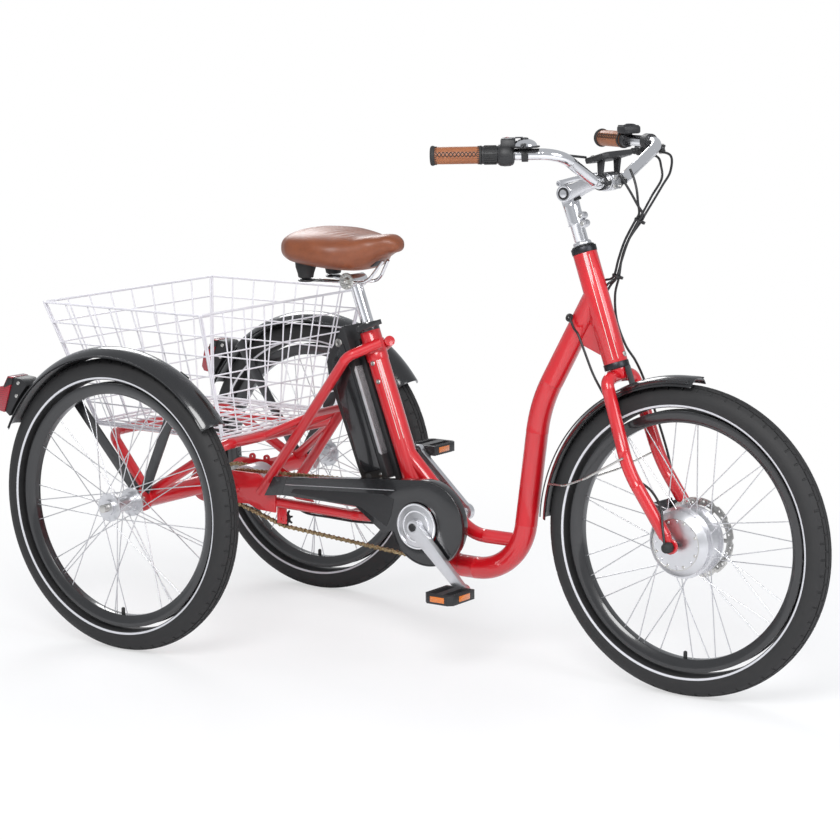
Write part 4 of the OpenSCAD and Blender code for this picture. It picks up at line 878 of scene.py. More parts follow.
FACING = back.normalized()
for side, word in ((-1, "right"), (1, "left")):
    grip = bar_bench(side, GRIP_LENGTH)
    bm = bmesh.new()
    turned(bm, bar_bench(side, 0), [(0.0166, -0.004), (0.0186, -0.002), (0.0192, 0.001),
                                    (0.0182, 0.0042), (0.0150, 0.0054)])
    sleeve(bm, grip, 0.0150, 0.0180, -0.0004, 0.0034)
    finish_piece("grip_rings_" + word, bm, SOFT_BLACK, "handlebar", bevel=0.0006)
    local = grip.to_3x3().inverted() @ FACING
    seam = math.atan2(local.y, local.x)
    runs, margin = [], 0.006
    step = (GRIP_LENGTH - 2 * margin) / LACES
    for k in range(LACES):
        low, high = margin + k * step, margin + (k + 1) * step
        for lean in (-1, 1):
            runs.append([on_tube(grip, GRIP_RADIUS + 0.0004, seam + lean * s, low + (high - low) * t)
                         for s, t in ((-0.30, 0.0), (-0.10, 0.35), (0.10, 0.65), (0.30, 1.0))])
    wire_piece("grip_lacing_" + word, runs, THREAD, SOFT_BLACK, "handlebar")
    welt = [[on_tube(grip, GRIP_RADIUS + 0.0001, seam + lean * 0.36, 0.006 + 0.0026 * k)
             for k in range(31)] for lean in (-1, 1)]
    wire_piece("grip_welt_" + word, welt, 0.0011, GRIP_LEATHER, "handlebar")
    binding = []
    for height in (0.0048, GRIP_LENGTH - 0.005):
        for k in range(BINDING_STEPS):
            turn = math.tau * k / BINDING_STEPS
            binding.append([on_tube(grip, GRIP_RADIUS + 0.0003, turn + 0.07 * j, height + dz)
                            for j, dz in ((0, -0.0022), (1, 0.0022))])
    wire_piece("grip_binding_" + word, binding, 0.0007, SOFT_BLACK, "handlebar")
print("laced grips: 2")

# %% [markdown]
# The twist shifter sits inside the right grip: a ribbed rubber collar that
# turns, and a fatter fixed housing with a thumb release on top and a barrel
# adjuster that points along the bar. A small red mark shows the gear.

# %% Twist shifter
bm = bmesh.new()
collar = bar_bench(-1, 0.123)
for k in range(COLLAR_RIBS):
    turn = math.tau * k / COLLAR_RIBS
    rib = collar @ Matrix.Rotation(turn, 4, "Z") @ Matrix.Translation((0.0170, 0, 0))
    pressed(bm, rib, [(-0.0008, -0.0013), (0.0014, -0.0009), (0.0014, 0.0009), (-0.0008, 0.0013)],
            0.0028, 0.0262)
finish_piece("shifter_ribs", bm, SOFT_BLACK, "shifter_collar", bevel=0.0003)
bm = bmesh.new()
housing = bar_bench(-1, 0.150)
turned(bm, housing, [(0.0165, -0.004), (0.0196, -0.001), (0.0216, 0.004), (0.0222, 0.014),
                     (0.0212, 0.022), (0.0185, 0.0262)])
pressed(bm, housing, [(-0.0150, -0.0150), (-0.0300, -0.0120), (-0.0315, 0.0), (-0.0300, 0.0110),
                      (-0.0150, 0.0150)], -0.006, 0.021)
finish_piece("shifter_housing", bm, SATIN_BLACK, "handlebar", bevel=0.0022)
bm = bmesh.new()
trigger = housing @ Matrix.Translation((-0.0266, 0.0, 0.0))
pressed(bm, trigger, [(0.0, -0.011), (-0.0050, -0.011), (-0.0060, 0.0), (-0.0050, 0.010),
                      (0.0, 0.010)], -0.006, 0.019)
pressed(bm, trigger @ Matrix.Translation((-0.003, 0.0, 0.0)),
        [(-0.0016, -0.008), (-0.0036, -0.006), (-0.0036, 0.006), (-0.0010, 0.008)], -0.021, -0.005)
finish_piece("shifter_release", bm, BLACK_PAINT, "handlebar", bevel=0.0014)
bm = bmesh.new()
pressed(bm, trigger, box_outline(-0.0066, -0.0058, -0.0052, -0.0018), 0.0065, 0.0135)
finish_piece("shifter_mark", bm, RED_LENS, "handlebar", bevel=0.0002)
bm = bmesh.new()
shift_exit = metres((901.1, -220.8, 1068.2))
adjuster = bench(shift_exit - Vector((0.02376, -0.01728, -0.00144)), (0.033, 0.024, -0.002), UP)
turned(bm, adjuster, [(0.0072, -0.016), (0.0076, -0.006), (0.0060, -0.002), (0.0060, 0.004),
                      (0.0048, 0.006), (0.0048, 0.014), (0.0036, 0.0165), (0.0034, 0.030)], 24)
finish_piece("shifter_adjuster", bm, SATIN_BLACK, "handlebar", bevel=0.0004)
print("shifter housing at", [round(v, 3) for v in housing.translation])

# %% [markdown]
# The bell is a chrome dome on a broad black base, strapped to the bar. A
# small black cap closes the top of the dome and a knob stands beside it. The
# thumb lever is the CAD one.

# %% Bell
bell_up = bar_bench(-1, GRIP_LENGTH + 0.082) @ Matrix.Rotation(-math.pi / 2, 4, "Y")
bm = bmesh.new()
turned(bm, bell_up, [(0.0110, 0.0105), (0.0150, 0.0120), (0.0270, 0.0130), (0.0290, 0.0142),
                     (0.0290, 0.0158), (0.0250, 0.0163)], 48)
sleeve(bm, bar_bench(-1, GRIP_LENGTH + 0.088), BAR_RADIUS, 0.0142, 0.0, 0.012)
pressed(bm, bell_up, box_outline(-0.006, 0.006, -0.008, 0.008), 0.0100, 0.0135)
base = finish_piece("bell_base", bm, SATIN_BLACK, "handlebar", bevel=0.0005)
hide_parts("bell")
bm = bmesh.new()
dome = [(0.0232 * math.cos(math.radians(a)), 0.0168 + 0.0130 * math.sin(math.radians(a)))
        for a in range(0, 76, 6)]
turned(bm, bell_up, [(0.0222, 0.0162), (0.0238, 0.0165)] + dome, 56)
finish_piece("bell_dome", bm, POLISHED, "handlebar", angle=50.0)
bm = bmesh.new()
turned(bm, bell_up, [(0.0075, 0.0290), (0.0078, 0.0302), (0.0062, 0.0316), (0.0030, 0.0322)], 28)
pin = bell_up @ Matrix.Translation((0, 0.029, 0))
turned(bm, pin, [(0.0046, 0.0136), (0.0046, 0.0162), (0.0024, 0.0164), (0.0024, 0.0216),
                 (0.0040, 0.0218), (0.0036, 0.0230)], 24)
finish_piece("bell_caps", bm, BLACK_PAINT, "handlebar", bevel=0.0003)
print("bell dome", len(dome), "rings")

# %% [markdown]
# The display is a thin slab across the bar with a dark glass face and tapered
# ends. It hangs on two clamps whose screws sit in front. Between the clamps
# the bar itself shows.

# %% Display
slab_up = Matrix.Translation(STEM_PIVOT + Vector((0.095, 0.0, 0.070)))
slab_up = slab_up @ Matrix.Rotation(math.radians(-17), 4, "Y")
bm = bmesh.new()
pressed(bm, slab_up, [(-0.022, -0.053), (0.020, -0.053), (0.028, -0.044), (0.0286, 0.0),
                      (0.028, 0.044), (0.020, 0.053), (-0.022, 0.053), (-0.028, 0.044),
                      (-0.0286, 0.0), (-0.028, -0.044)], 0.0, 0.0110)
shell = finish_piece("display_shell", bm, SATIN_BLACK, "handlebar", bevel=0.0028)
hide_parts("display")
bm = bmesh.new()
pressed(bm, slab_up, box_outline(-0.020, 0.020, -0.036, 0.036), 0.0108, 0.0117)
finish_piece("display_glass", bm, DARK_GLASS, "handlebar", bevel=0.0004)
bm = bmesh.new()
for y in (-0.043, 0.043):
    key = slab_up @ Matrix.Translation((-0.010, y, 0))
    turned(bm, key, [(0.0038, 0.0100), (0.0040, 0.0118), (0.0032, 0.0126)], 20)
finish_piece("display_keys", bm, SOFT_BLACK, "handlebar", bevel=0.0003)
bm = bmesh.new()
bar_axis = STEM_PIVOT + Vector((0.093, 0, 0.027))
for y in (-0.0345, 0.0265):
    clamp = bench(bar_axis + LEFT * y, LEFT, FORWARD)
    sleeve(bm, clamp, 0.01275, 0.0158, 0.0, 0.008)
    lift = Matrix(((1, 0, 0, bar_axis.x), (0, 0, 1, bar_axis.y + y), (0, 1, 0, bar_axis.z),
                   (0, 0, 0, 1)))
    pressed(bm, lift, [(-0.0045, 0.0145), (0.0050, 0.0148), (0.0085, 0.0445), (-0.0060, 0.0400)],
            0.0, 0.008)
    pressed(bm, lift, [(0.0142, -0.006), (0.0225, -0.005), (0.0225, 0.004), (0.0142, 0.005)],
            0.0005, 0.0075)
finish_piece("display_clamps", bm, SATIN_BLACK, "handlebar", bevel=0.0009)
bm = bmesh.new()
for y in (-0.030, 0.030):
    screw = bench(bar_axis + Vector((0.0195, y, -0.0068)), UP, FORWARD)
    turned(bm, screw, [(0.0028, 0.0), (0.0030, 0.0010), (0.0026, 0.0018), (0.0026, 0.0130),
                       (0.0018, 0.0136)], 18)
finish_piece("display_screws", bm, PLATED, "handlebar")
print("display slab at", [round(v, 3) for v in slab_up.translation])

# %% [markdown]
# On the left there is a handlebar remote with a raised loop guard round its
# button, and the brake lever's bracket, whose barrel adjusters take the two
# brake lines. A knurled ring locks each adjuster.

# %% Remote and brake fittings
remote = bar_bench(1, GRIP_LENGTH + 0.018)
bm = bmesh.new()
pressed(bm, remote @ Matrix.Rotation(-math.pi / 2, 4, "Y"),
        [(-0.017, -0.0195), (0.015, -0.0195), (0.0205, -0.013), (0.021, 0.013), (0.015, 0.0195),
         (-0.017, 0.0195), (-0.0195, 0.011), (-0.0195, -0.011)], 0.0130, 0.0290)
finish_piece("remote_shell", bm, SATIN_BLACK, "handlebar", bevel=0.0045)
LOOP_STEPS = 16
loop = [remote @ Vector((-0.0262 - 0.0050 * math.sin(math.pi * k / LOOP_STEPS),
                         0.0165 * math.cos(math.pi * k / LOOP_STEPS),
                         -0.0060 + 0.0036 * k / LOOP_STEPS))
        for k in range(LOOP_STEPS + 1)]
wire_piece("remote_loop", [loop], 0.0022, SATIN_BLACK, "handlebar")
bm = bmesh.new()
for route in bar_routes[:2]:
    mouth, ahead = metres(route[0]), metres(route[1]) - metres(route[0])
    barrel = bench(mouth - ahead.normalized() * 0.012, ahead, UP)
    turned(bm, barrel, [(0.0058, -0.006), (0.0060, 0.004), (0.0046, 0.005), (0.0046, 0.011),
                        (0.0066, 0.0115), (0.0066, 0.0155), (0.0044, 0.016), (0.0044, 0.024),
                        (0.0034, 0.0252), (0.0033, 0.036)], 24)
finish_piece("brake_adjusters", bm, SATIN_BLACK, "handlebar", bevel=0.0003)
bm = bmesh.new()
lever_pin = bar_bench(1, GRIP_LENGTH + 0.099) @ Matrix.Translation((0, -0.030, 0))
lever_pin = lever_pin @ Matrix.Rotation(math.pi / 2, 4, "Y")
turned(bm, lever_pin, [(0.0040, 0.0058), (0.0056, 0.0066), (0.0056, 0.0074), (0.0040, 0.0080)], 20)
turned(bm, lever_pin, [(0.0040, 0.0232), (0.0056, 0.0236), (0.0056, 0.0252), (0.0040, 0.0262)], 20)
finish_piece("brake_pivot_screw", bm, PLATED, "handlebar")
print("remote and brake fittings at", [round(v, 3) for v in remote.translation])

# %% [markdown]
# The stem tilts. Its head is a smooth cast arm that springs from the pivot and
# thins towards the bar clamp, with a wedge lever lying on top. A black plug
# with a slot closes the pivot on both sides, a rubber stop sits under the arm,
# and two small lugs with screws hold the fixed sleeve. The sleeve steps down
# to the steerer tube above the head tube.

# %% Stem head and sleeve
def on_pivot(points):
    """Side-view points about the pivot, in millimetres, moved into the frame."""
    return [(STEM_PIVOT.x + x * MM, STEM_PIVOT.z + z * MM) for x, z in points]


CHEEK_Y = 0.0150
bm = bmesh.new()
upper = arc((0, 0), 17.0, 250, 82, 14)
top_edge = [(16, 20), (32, 27), (52, 35), (72, 41), (86, 43)]
bottom_edge = [(84, 15), (68, 13), (50, 7), (34, -1), (20, -10), (8, -17)]
outline = on_pivot(upper + top_edge + bottom_edge)
pressed(bm, SIDE_VIEW, outline, -CHEEK_Y, CHEEK_Y)
head = finish_piece("stem_arm", bm, ALUMINIUM, "handlebar", bevel=0.0045)
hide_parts("stem_head")
bm = bmesh.new()
clamp_axis = STEM_PIVOT + Vector((0.093, 0, 0.027))
sleeve(bm, bench(clamp_axis - LEFT * 0.0175, LEFT, FORWARD), 0.01275, 0.0185, 0.0, 0.035)
for z in (-0.0085, 0.0085):
    face = bench(clamp_axis + Vector((0.0140, -0.0155, z)), FORWARD, UP)
    pressed(bm, face, box_outline(-0.0055, 0.0055, -0.031, 0.0), 0.0, 0.0062)
finish_piece("stem_clamp", bm, ALUMINIUM, "handlebar", bevel=0.0012)
bm = bmesh.new()
for y in (-0.0105, 0.0105):
    for z in (-0.0085, 0.0085):
        screw = bench(clamp_axis + Vector((0.0198, y, z)), FORWARD, UP)
        turned(bm, screw, [(0.0036, 0.0), (0.0038, 0.0012), (0.0036, 0.0026), (0.0030, 0.0032)], 20)
finish_piece("stem_clamp_screws", bm, PLATED, "handlebar")
bm = bmesh.new()
for side in (-1, 1):
    cap = bench(STEM_PIVOT + LEFT * side * CHEEK_Y, LEFT * side, UP)
    sleeve(bm, cap, 0.0122, 0.0165, -0.001, 0.0028)
finish_piece("stem_pivot_rings", bm, POLISHED, "handlebar", bevel=0.0008)
bm = bmesh.new()
for side in (-1, 1):
    cap = bench(STEM_PIVOT + LEFT * side * CHEEK_Y, LEFT * side, Vector((0.97, 0, 0.24)))
    half = [(0.0011, 0.0112)] + arc((0, 0), 0.0120, 84, -84, 14) + [(0.0011, -0.0112)]
    for turn in (0, 180):
        pressed(bm, cap @ Matrix.Rotation(math.radians(turn + 90), 4, "Z"), half, 0.0, 0.0030)
    turned(bm, cap, [(0.0118, -0.0004), (0.0118, 0.0016)], 32)
finish_piece("stem_pivot_caps", bm, SATIN_BLACK, "handlebar", bevel=0.0003)
print("stem arm from", [round(v, 3) for v in STEM_PIVOT])

# %% [markdown]
# The lugs belong to the part below the pivot, so they ride with the fork. So
# do the rubber stop under the arm, the ring at the sleeve's foot and the cap
# over the head bearing.

# %% Stem lugs and stop
bm = bmesh.new()
LUG_DROPS = (0.051, 0.067)
for drop in LUG_DROPS:
    centre = STEM_PIVOT - STEER_UP * drop + STEER_FORWARD * 0.0125
    lug = bench(centre - LEFT * 0.0085, LEFT, STEER_FORWARD)
    pressed(bm, lug, [(-0.006, -0.0075), (0.004, -0.0080)] + arc((0.0062, 0.0), 0.0072, -80, 80, 8)
            + [(0.004, 0.0080), (-0.006, 0.0075)], 0.0, 0.017)
finish_piece("stem_lugs", bm, ALUMINIUM, "fork", bevel=0.0012)
bm = bmesh.new()
for drop in LUG_DROPS:
    for side in (-1, 1):
        centre = STEM_PIVOT - STEER_UP * drop + STEER_FORWARD * 0.0170 + LEFT * side * 0.0083
        screw = bench(centre, LEFT * side, UP)
        turned(bm, screw, [(0.0042, 0.0), (0.0044, 0.0008), (0.0038, 0.0018), (0.0020, 0.0018),
                           (0.0018, 0.0008)], 24)
finish_piece("stem_lug_screws", bm, PLATED, "fork")
bm = bmesh.new()
stop = bench(STEM_PIVOT + STEER_FORWARD * 0.0185 - STEER_UP * 0.0190, STEER_UP, FORWARD)
turned(bm, stop, [(0.0062, 0.0), (0.0068, 0.0010), (0.0068, 0.0034), (0.0060, 0.0042)], 24)
finish_piece("stem_stop", bm, SOFT_BLACK, "fork", bevel=0.0004)
bm = bmesh.new()
foot = bench(HEAD_FOOT + STEER_UP * 0.224, STEER_UP, FORWARD)
turned(bm, foot, [(0.0185, 0.0165), (0.0185, 0.0205), (0.0172, 0.0225), (0.0162, 0.0235)], 48)
sleeve(bm, foot, 0.0166, 0.0176, 0.058, 0.0592)
finish_piece("stem_foot_ring", bm, ALUMINIUM, "fork", bevel=0.0003)
bm = bmesh.new()
turned(bm, foot, [(0.0215, 0.0126), (0.0225, 0.0132), (0.0222, 0.0150), (0.0196, 0.0164)], 48)
finish_piece("headset_cap", bm, SATIN_BLACK, "fork", bevel=0.0003)
print("stem lugs: 2")

# %% [markdown]
# A tyre is moulded rubber with blocks standing on its crown. The section is a
# round one, open at the rim, and the grooves between the blocks are cut about
# two millimetres deep, so that the edge of the wheel looks finely notched.
# Every row of the section is laid round the wheel once, with its points moved
# in wherever a groove crosses it. The valve of each wheel is a brass stem with
# a black cap.

# %% Tyres with tread, and valves
TREAD_PITCHES, GROOVE = 60, 0.0019
# Where the columns of one pitch stand, and which of them lie in a cross groove.
COLUMNS = (0.00, 0.36, 0.40, 0.47, 0.50, 0.86, 0.90, 0.97)
CROSS_GROOVES = {"odd": (2, 3), "even": (6, 7), "rib": (), "floor": tuple(range(8)), "side": ()}
# Half of the section: an angle from the crown in degrees, and the kind of row.
TREAD_ROWS = ((0, "rib"), (4.5, "rib"), (6, "floor"), (9, "floor"), (10.5, "odd"), (23, "odd"),
              (24.5, "floor"), (27.5, "floor"), (29, "even"), (45, "even"), (49, "side"),
              (62, "side"), (76, "side"), (90, "side"), (105, "side"), (121, "side"))


def tyre_piece(node, material, body):
    """A tyre with tread instead of the plain one; returns its centre and radius."""
    low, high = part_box(node)
    centre = (low + high) / 2
    half_width = (high.y - low.y) / 2
    outer = (high.z - low.z) / 2
    at = bench(centre, LEFT, UP)
    rows = [(-angle, kind) for angle, kind in reversed(TREAD_ROWS[1:])] + list(TREAD_ROWS)
    bm = bmesh.new()
    rings = []
    for angle, kind in rows:
        lean, points = math.radians(angle), []
        for pitch in range(TREAD_PITCHES):
            for column, share in enumerate(COLUMNS):
                depth = GROOVE if column in CROSS_GROOVES[kind] else 0.0
                radius = outer - half_width + (half_width - depth) * math.cos(lean)
                turn = math.tau * (pitch + share) / TREAD_PITCHES
                points.append((radius * math.cos(turn), radius * math.sin(turn),
                               (half_width - depth) * math.sin(lean)))
        rings.append(ring(bm, at, points))
    skin(bm, rings + rings[:1], capped=False)
    piece = finish_piece(node + "_tread", bm, material, body, angle=28.0)
    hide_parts(node)
    return centre, outer


BRASS = metal("brass", (0.62, 0.42, 0.17), 0.35)
VALVE_DEPTH = 0.0605
WHEELS = (("front", FRONT_RUBBER, "front_wheel"), ("left", REAR_RUBBER, "left_wheel"),
          ("right", REAR_RUBBER, "rear_axle"))
for word, rubber, body in WHEELS:
    wheel_at, outer = tyre_piece(word + "_tyre", rubber, body)
    bm = bmesh.new()
    valve = bench(wheel_at - UP * (outer - VALVE_DEPTH), UP, FORWARD)
    turned(bm, valve, [(0.0031, -0.004), (0.0031, 0.012), (0.0026, 0.0125), (0.0026, 0.016)], 20)
    finish_piece(word + "_valve_stem", bm, BRASS, body)
    bm = bmesh.new()
    turned(bm, valve, [(0.0036, 0.0125), (0.0040, 0.0135), (0.0040, 0.0250), (0.0034, 0.0275),
                       (0.0020, 0.0285)], 20)
    finish_piece(word + "_valve_cap", bm, SOFT_BLACK, body)
print("tread blocks per tyre:", TREAD_PITCHES * 4)

# %% [markdown]
# The battery is a moulded case that slides down a rail behind the seat tube.
# Its back swells at the shoulder and tapers to the foot, and its top slopes
# up to the tube. The case is one pressed body with soft edges, and a raised
# panel stands on each side of it. A grey band along its front edge is a
# painted highlight, where the chamfered edge catches the light. The lock, a
# charging cap and one screw are turned parts set into the right side.

# %% Battery
SEAT_FOOT = metres((539, 0, 286))
on_seat = Matrix((SEAT_BACK, SEAT_UP, SEAT_BACK.cross(SEAT_UP))).transposed().to_4x4()
on_seat.translation = SEAT_FOOT


def along_seat(points):
    """Points given behind and above the seat tube's foot, in millimetres."""
    return [(x * MM, y * MM) for x, y in points]


CASE_HALF = 0.0370
CASE = along_seat([(34.8, 104), (38, 100.3), (96, 101), (103, 108), (105.5, 140), (107.5, 230),
                   (110.2, 300), (110.0, 345), (105, 372), (92, 388), (60, 412), (44, 430.5),
                   (34.8, 431.5)])
PANEL = along_seat([(47, 122), (93, 124), (96, 150), (98.5, 300), (96, 345), (84, 372),
                    (56, 394), (47, 396)])
bm = bmesh.new()
pressed(bm, on_seat, CASE, -CASE_HALF, CASE_HALF)
case = finish_piece("battery_case", bm, SATIN_BLACK, "battery", bevel=0.0062,
                    angle=28.0)
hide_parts("battery")
bm = bmesh.new()
pressed(bm, on_seat, PANEL, -0.0402, 0.0402)
finish_piece("battery_panels", bm, GLOSS_BLACK, "battery", bevel=0.0022, angle=28.0)
# A grey band wrapped round the case's front edge: a painted highlight where the chamfered edge would
# catch the light.
bm = bmesh.new()
pressed(bm, on_seat, along_seat([(34.8, 150), (40.5, 156), (40.5, 336), (34.8, 344)]),
        -0.0376, 0.0376)
finish_piece("battery_edge_highlight", bm, GREY_BUTTON_AND_EDGE_HIGHLIGHT, "battery", bevel=0.0012)
bm = bmesh.new()


def battery_side(x, y):
    """A bench on the right side of the case whose Z points outwards."""
    spot = on_seat @ Vector((x * MM, y * MM, 0))
    return bench(spot - LEFT * 0.0368, -LEFT, SEAT_UP)


lock_at = battery_side(60, 401)
turned(bm, lock_at, [(0.0086, -0.002), (0.0090, 0.0010), (0.0080, 0.0022), (0.0052, 0.0022),
                     (0.0050, 0.0010)], 32)
turned(bm, battery_side(52, 112), [(0.0034, -0.002), (0.0036, 0.0008), (0.0030, 0.0016)], 20)
finish_piece("battery_lock", bm, PLATED, "battery")
bm = bmesh.new()
pressed(bm, lock_at, box_outline(-0.0036, 0.0036, -0.0007, 0.0007), 0.0005, 0.0016)
turned(bm, battery_side(84, 114), [(0.0072, -0.002), (0.0078, 0.0010), (0.0060, 0.0020)], 28)
finish_piece("battery_caps", bm, SOFT_BLACK, "battery")
print("battery case", len(CASE), "corners")

# %% [markdown]
# The chain guard is a black pressed shell. A thin bright line runs along its
# arm, a shallow panel stands out on the arm, and a rolled rim closes the round
# end. The cranks turn in front of a bright cover that is stepped like a lid.
# Each crank has two raised edges, a black bolt and a dark eye at its end.

# %% Chain guard, cover and cranks
GUARD_FACE = -0.084
guard_at = metres((600, 0, 294))
guard_rim = [(x, GUARD_FACE, z) for x, z in arc((guard_at.x, guard_at.z), 0.0880, 92, -128, 60)]
arm_line = [metres((x, GUARD_FACE / MM, z))
            for x, z in ((236, 336), (330, 342), (420, 348), (520, 354.5))]
wire_piece("guard_line", [smooth_line(arm_line, 6)], 0.0009, ALUMINIUM, "frame")
wire_piece("guard_rim", [guard_rim], 0.0017, GLOSS_BLACK, "frame")
bm = bmesh.new()
arm_panel = [metres((x, 0, z)).xz for x, z in
             ((250, 320), (258, 329), (400, 338), (492, 344), (520, 336), (512, 300), (500, 276),
              (432, 310))]
pressed(bm, SIDE_VIEW, arm_panel, GUARD_FACE - 0.0010, GUARD_FACE + 0.0002)
finish_piece("guard_panel", bm, SATIN_BLACK, "frame", bevel=0.0007)

CRANK_Y, CRANK_LENGTH, CRANK_ANGLE = 0.088, 0.170, 44.0
crank_face = bench(BRACKET - LEFT * CRANK_Y, -LEFT, FORWARD)
bm = bmesh.new()
sleeve(bm, crank_face, 0.0300, 0.0340, -0.0005, 0.0009, 64)
sleeve(bm, crank_face, 0.0440, 0.0478, -0.0005, 0.0012, 64)
finish_piece("cover_steps", bm, POLISHED, "crank", bevel=0.0003)
ribs, bolts, wells = bmesh.new(), bmesh.new(), bmesh.new()
for side, turn in ((-1, CRANK_ANGLE), (1, CRANK_ANGLE + 180)):
    reach = math.radians(turn)
    along = Vector((math.cos(reach), 0, -math.sin(reach)))
    face = bench(BRACKET + LEFT * side * (CRANK_Y + 0.0140), LEFT * side, along)
    middle = bench(BRACKET + LEFT * side * (CRANK_Y + 0.0120), LEFT * side, along)
    for edge in (-1, 1):
        # The edges follow the taper of the arm.
        pressed(ribs, middle, [(0.026, edge * 0.0135), (0.148, edge * 0.0100),
                               (0.148, edge * 0.0064), (0.026, edge * 0.0092)], -0.0004, 0.0016)
    sleeve(ribs, face, 0.0090, 0.0150, -0.0004, 0.0008, 36)
    turned(bolts, face, [(0.0084, -0.0006), (0.0084, 0.0014), (0.0070, 0.0024), (0.0042, 0.0024),
                         (0.0040, 0.0012)], 32)
    pedal_end = face @ Matrix.Translation((CRANK_LENGTH, 0, 0))
    sleeve(wells, pedal_end, 0.0058, 0.0088, -0.0012, 0.0006, 28)
finish_piece("crank_ribs", ribs, ALUMINIUM, "crank", bevel=0.0006)
finish_piece("crank_bolts", bolts, SATIN_BLACK, "crank", bevel=0.0002)
finish_piece("crank_ends", wells, DARK_STEEL, "crank", bevel=0.0002)
print("crank details on", round(BRACKET.z, 3))

# %% [markdown]
# Each pedal carries three amber reflectors, two in its long bars and one at
# its outer end, and its bars have a row of small studs for the shoe.

# %% Pedal reflectors and studs
PEDAL_LENGTH, PEDAL_HALF, STUDS = 0.084, 0.034, 9
for word, side in (("right", -1), ("left", 1)):
    body = word + "_pedal"
    low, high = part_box(body)
    middle = (low + high) / 2
    outer = high.y if side > 0 else low.y
    inner = outer - side * PEDAL_LENGTH
    bm = bmesh.new()
    for fore in (-1, 1):
        window_at = Vector((middle.x + fore * (PEDAL_HALF - 0.0006), inner + side * 0.036,
                            middle.z))
        pressed(bm, bench(window_at, FORWARD * fore, UP),
                box_outline(-0.0058, 0.0058, -0.019, 0.019), 0.0, 0.0014)
    window_at = Vector((middle.x, outer - side * 0.0006, middle.z))
    pressed(bm, bench(window_at, LEFT * side, UP),
            box_outline(-0.0058, 0.0058, -0.017, 0.017), 0.0, 0.0014)
    finish_piece(word + "_pedal_reflectors", bm, AMBER_LENS, body, bevel=0.0004)
    bm = bmesh.new()
    for fore in (-1, 1):
        for level in (-1, 1):
            for k in range(STUDS):
                stud = bench(Vector((middle.x + fore * 0.0295, inner + side * (0.010 + 0.0072 * k),
                                     middle.z + level * 0.0098)), UP * level, FORWARD)
                turned(bm, stud, [(0.0022, -0.0006), (0.0018, 0.0012), (0.0008, 0.0020)], 8)
    finish_piece(word + "_pedal_studs", bm, SATIN_BLACK, body)
print("pedal reflectors:", 6)

# %% [markdown]
# The fenders are pressed sheet with a rolled bead along each edge. A tail lamp
# stands on the end of each rear one: a black body with a red lens cap. A black
# frame closes the top of the lens, and two screws on each side hold the body.

# %% Fender beads and tail lamps
LENS_TOP = ((-277.4, 557.6), (-291, 558.6), (-302, 541), (-304, 534), (-279, 545))
LAMP_SCREWS = ((-262, 548), (-268, 520))


def round_wheel(axle, radius, y, start, end, steps=48):
    """Points of an arc in a wheel's plane, in degrees up from straight ahead."""
    return [(x, y, z) for x, z in arc((axle.x, axle.z), radius, start, end, steps)]


for word, side in (("right", -1), ("left", 1)):
    low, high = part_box(word + "_fender")
    width, rim_y = high.y - low.y, (low.y + high.y) / 2
    edge_radius = high.z - REAR_AXLE.z - 0.0166
    beads = [round_wheel(REAR_AXLE, edge_radius, rim_y + edge * (width / 2 - 0.0006), 36.5, 153.5)
             for edge in (-1, 1)]
    wire_piece(word + "_fender_beads", beads, 0.0014, GLOSS_BLACK, "frame")
    bm = bmesh.new()
    pressed(bm, SIDE_VIEW, [metres((x, 0, z)).xz for x, z in LENS_TOP],
            rim_y - 0.0246, rim_y + 0.0246)
    finish_piece(word + "_lamp_frame", bm, SATIN_BLACK, "frame", bevel=0.0010)
    bm = bmesh.new()
    for x, z in LAMP_SCREWS:
        for out in (-1, 1):
            spot = metres((x, 0, z)) + LEFT * (rim_y + out * 0.0218)
            turned(bm, bench(spot, LEFT * out, UP),
                   [(0.0044, 0.0), (0.0046, 0.0010), (0.0036, 0.0026), (0.0014, 0.0032)], 20)
    finish_piece(word + "_lamp_screws", bm, PLATED, "frame")
low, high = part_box("front_fender")
front_top, width = high.z - FRONT_AXLE.z, high.y - low.y
beads = [round_wheel(FRONT_AXLE, front_top - 0.0150, edge * (width / 2 - 0.0006), 87, 177)
         for edge in (-1, 1)]
wire_piece("front_fender_beads", beads, 0.0014, GLOSS_BLACK, "fork")
print("front fender top radius", round(front_top, 4))

# %% [markdown]
# Fine pale lines run along the head tube and the seat tube, two on each. They
# are painted highlights, standing in for reflections of strip lamps. They are
# laid on the side that faces the camera as very thin ribs, because a rib
# follows its tube exactly.

# %% Painted highlight lines
# Pale lacquer for painted highlights: lines that stand in for reflections of strip lamps on the red
# paint.
PAINTED_HIGHLIGHT_PAINT = lacquer("painted_highlight", (0.80, 0.76, 0.70), (0.70, 0.66, 0.60), 0.30)


def painted_highlight_lines(name, start, end, radius, turns, body, steps=24):
    """Painted highlight lines on a straight round tube, each at its own turn round the axis."""
    tube = bench(start, end - start, UP)
    length = (end - start).length
    wire_piece(name, [[on_tube(tube, radius, turn, length * k / steps) for k in range(steps + 1)]
                      for turn in turns], 0.0006, PAINTED_HIGHLIGHT_PAINT, body)


def facing_turn(start, end):
    """The turn round a tube's axis that looks towards the right front."""
    local = bench(start, end - start, UP).to_3x3().inverted() @ FACING
    return math.atan2(local.y, local.x)


HEAD_RADIUS, SEAT_RADIUS = 0.0244, 0.0219
head_start, head_end = HEAD_FOOT + STEER_UP * 0.006, HEAD_FOOT + STEER_UP * 0.218
turn = facing_turn(head_start, head_end)
painted_highlight_lines("head_tube_painted_highlights", head_start, head_end, HEAD_RADIUS, (turn - 0.22, turn + 0.22), "frame")
seat_start, seat_end = SEAT_FOOT + SEAT_UP * 0.170, SEAT_FOOT + SEAT_UP * 0.342
turn = facing_turn(seat_start, seat_end)
painted_highlight_lines("seat_tube_painted_highlights", seat_start, seat_end, SEAT_RADIUS, (turn - 0.20, turn + 0.20), "frame")
print("stripe pairs: 2")

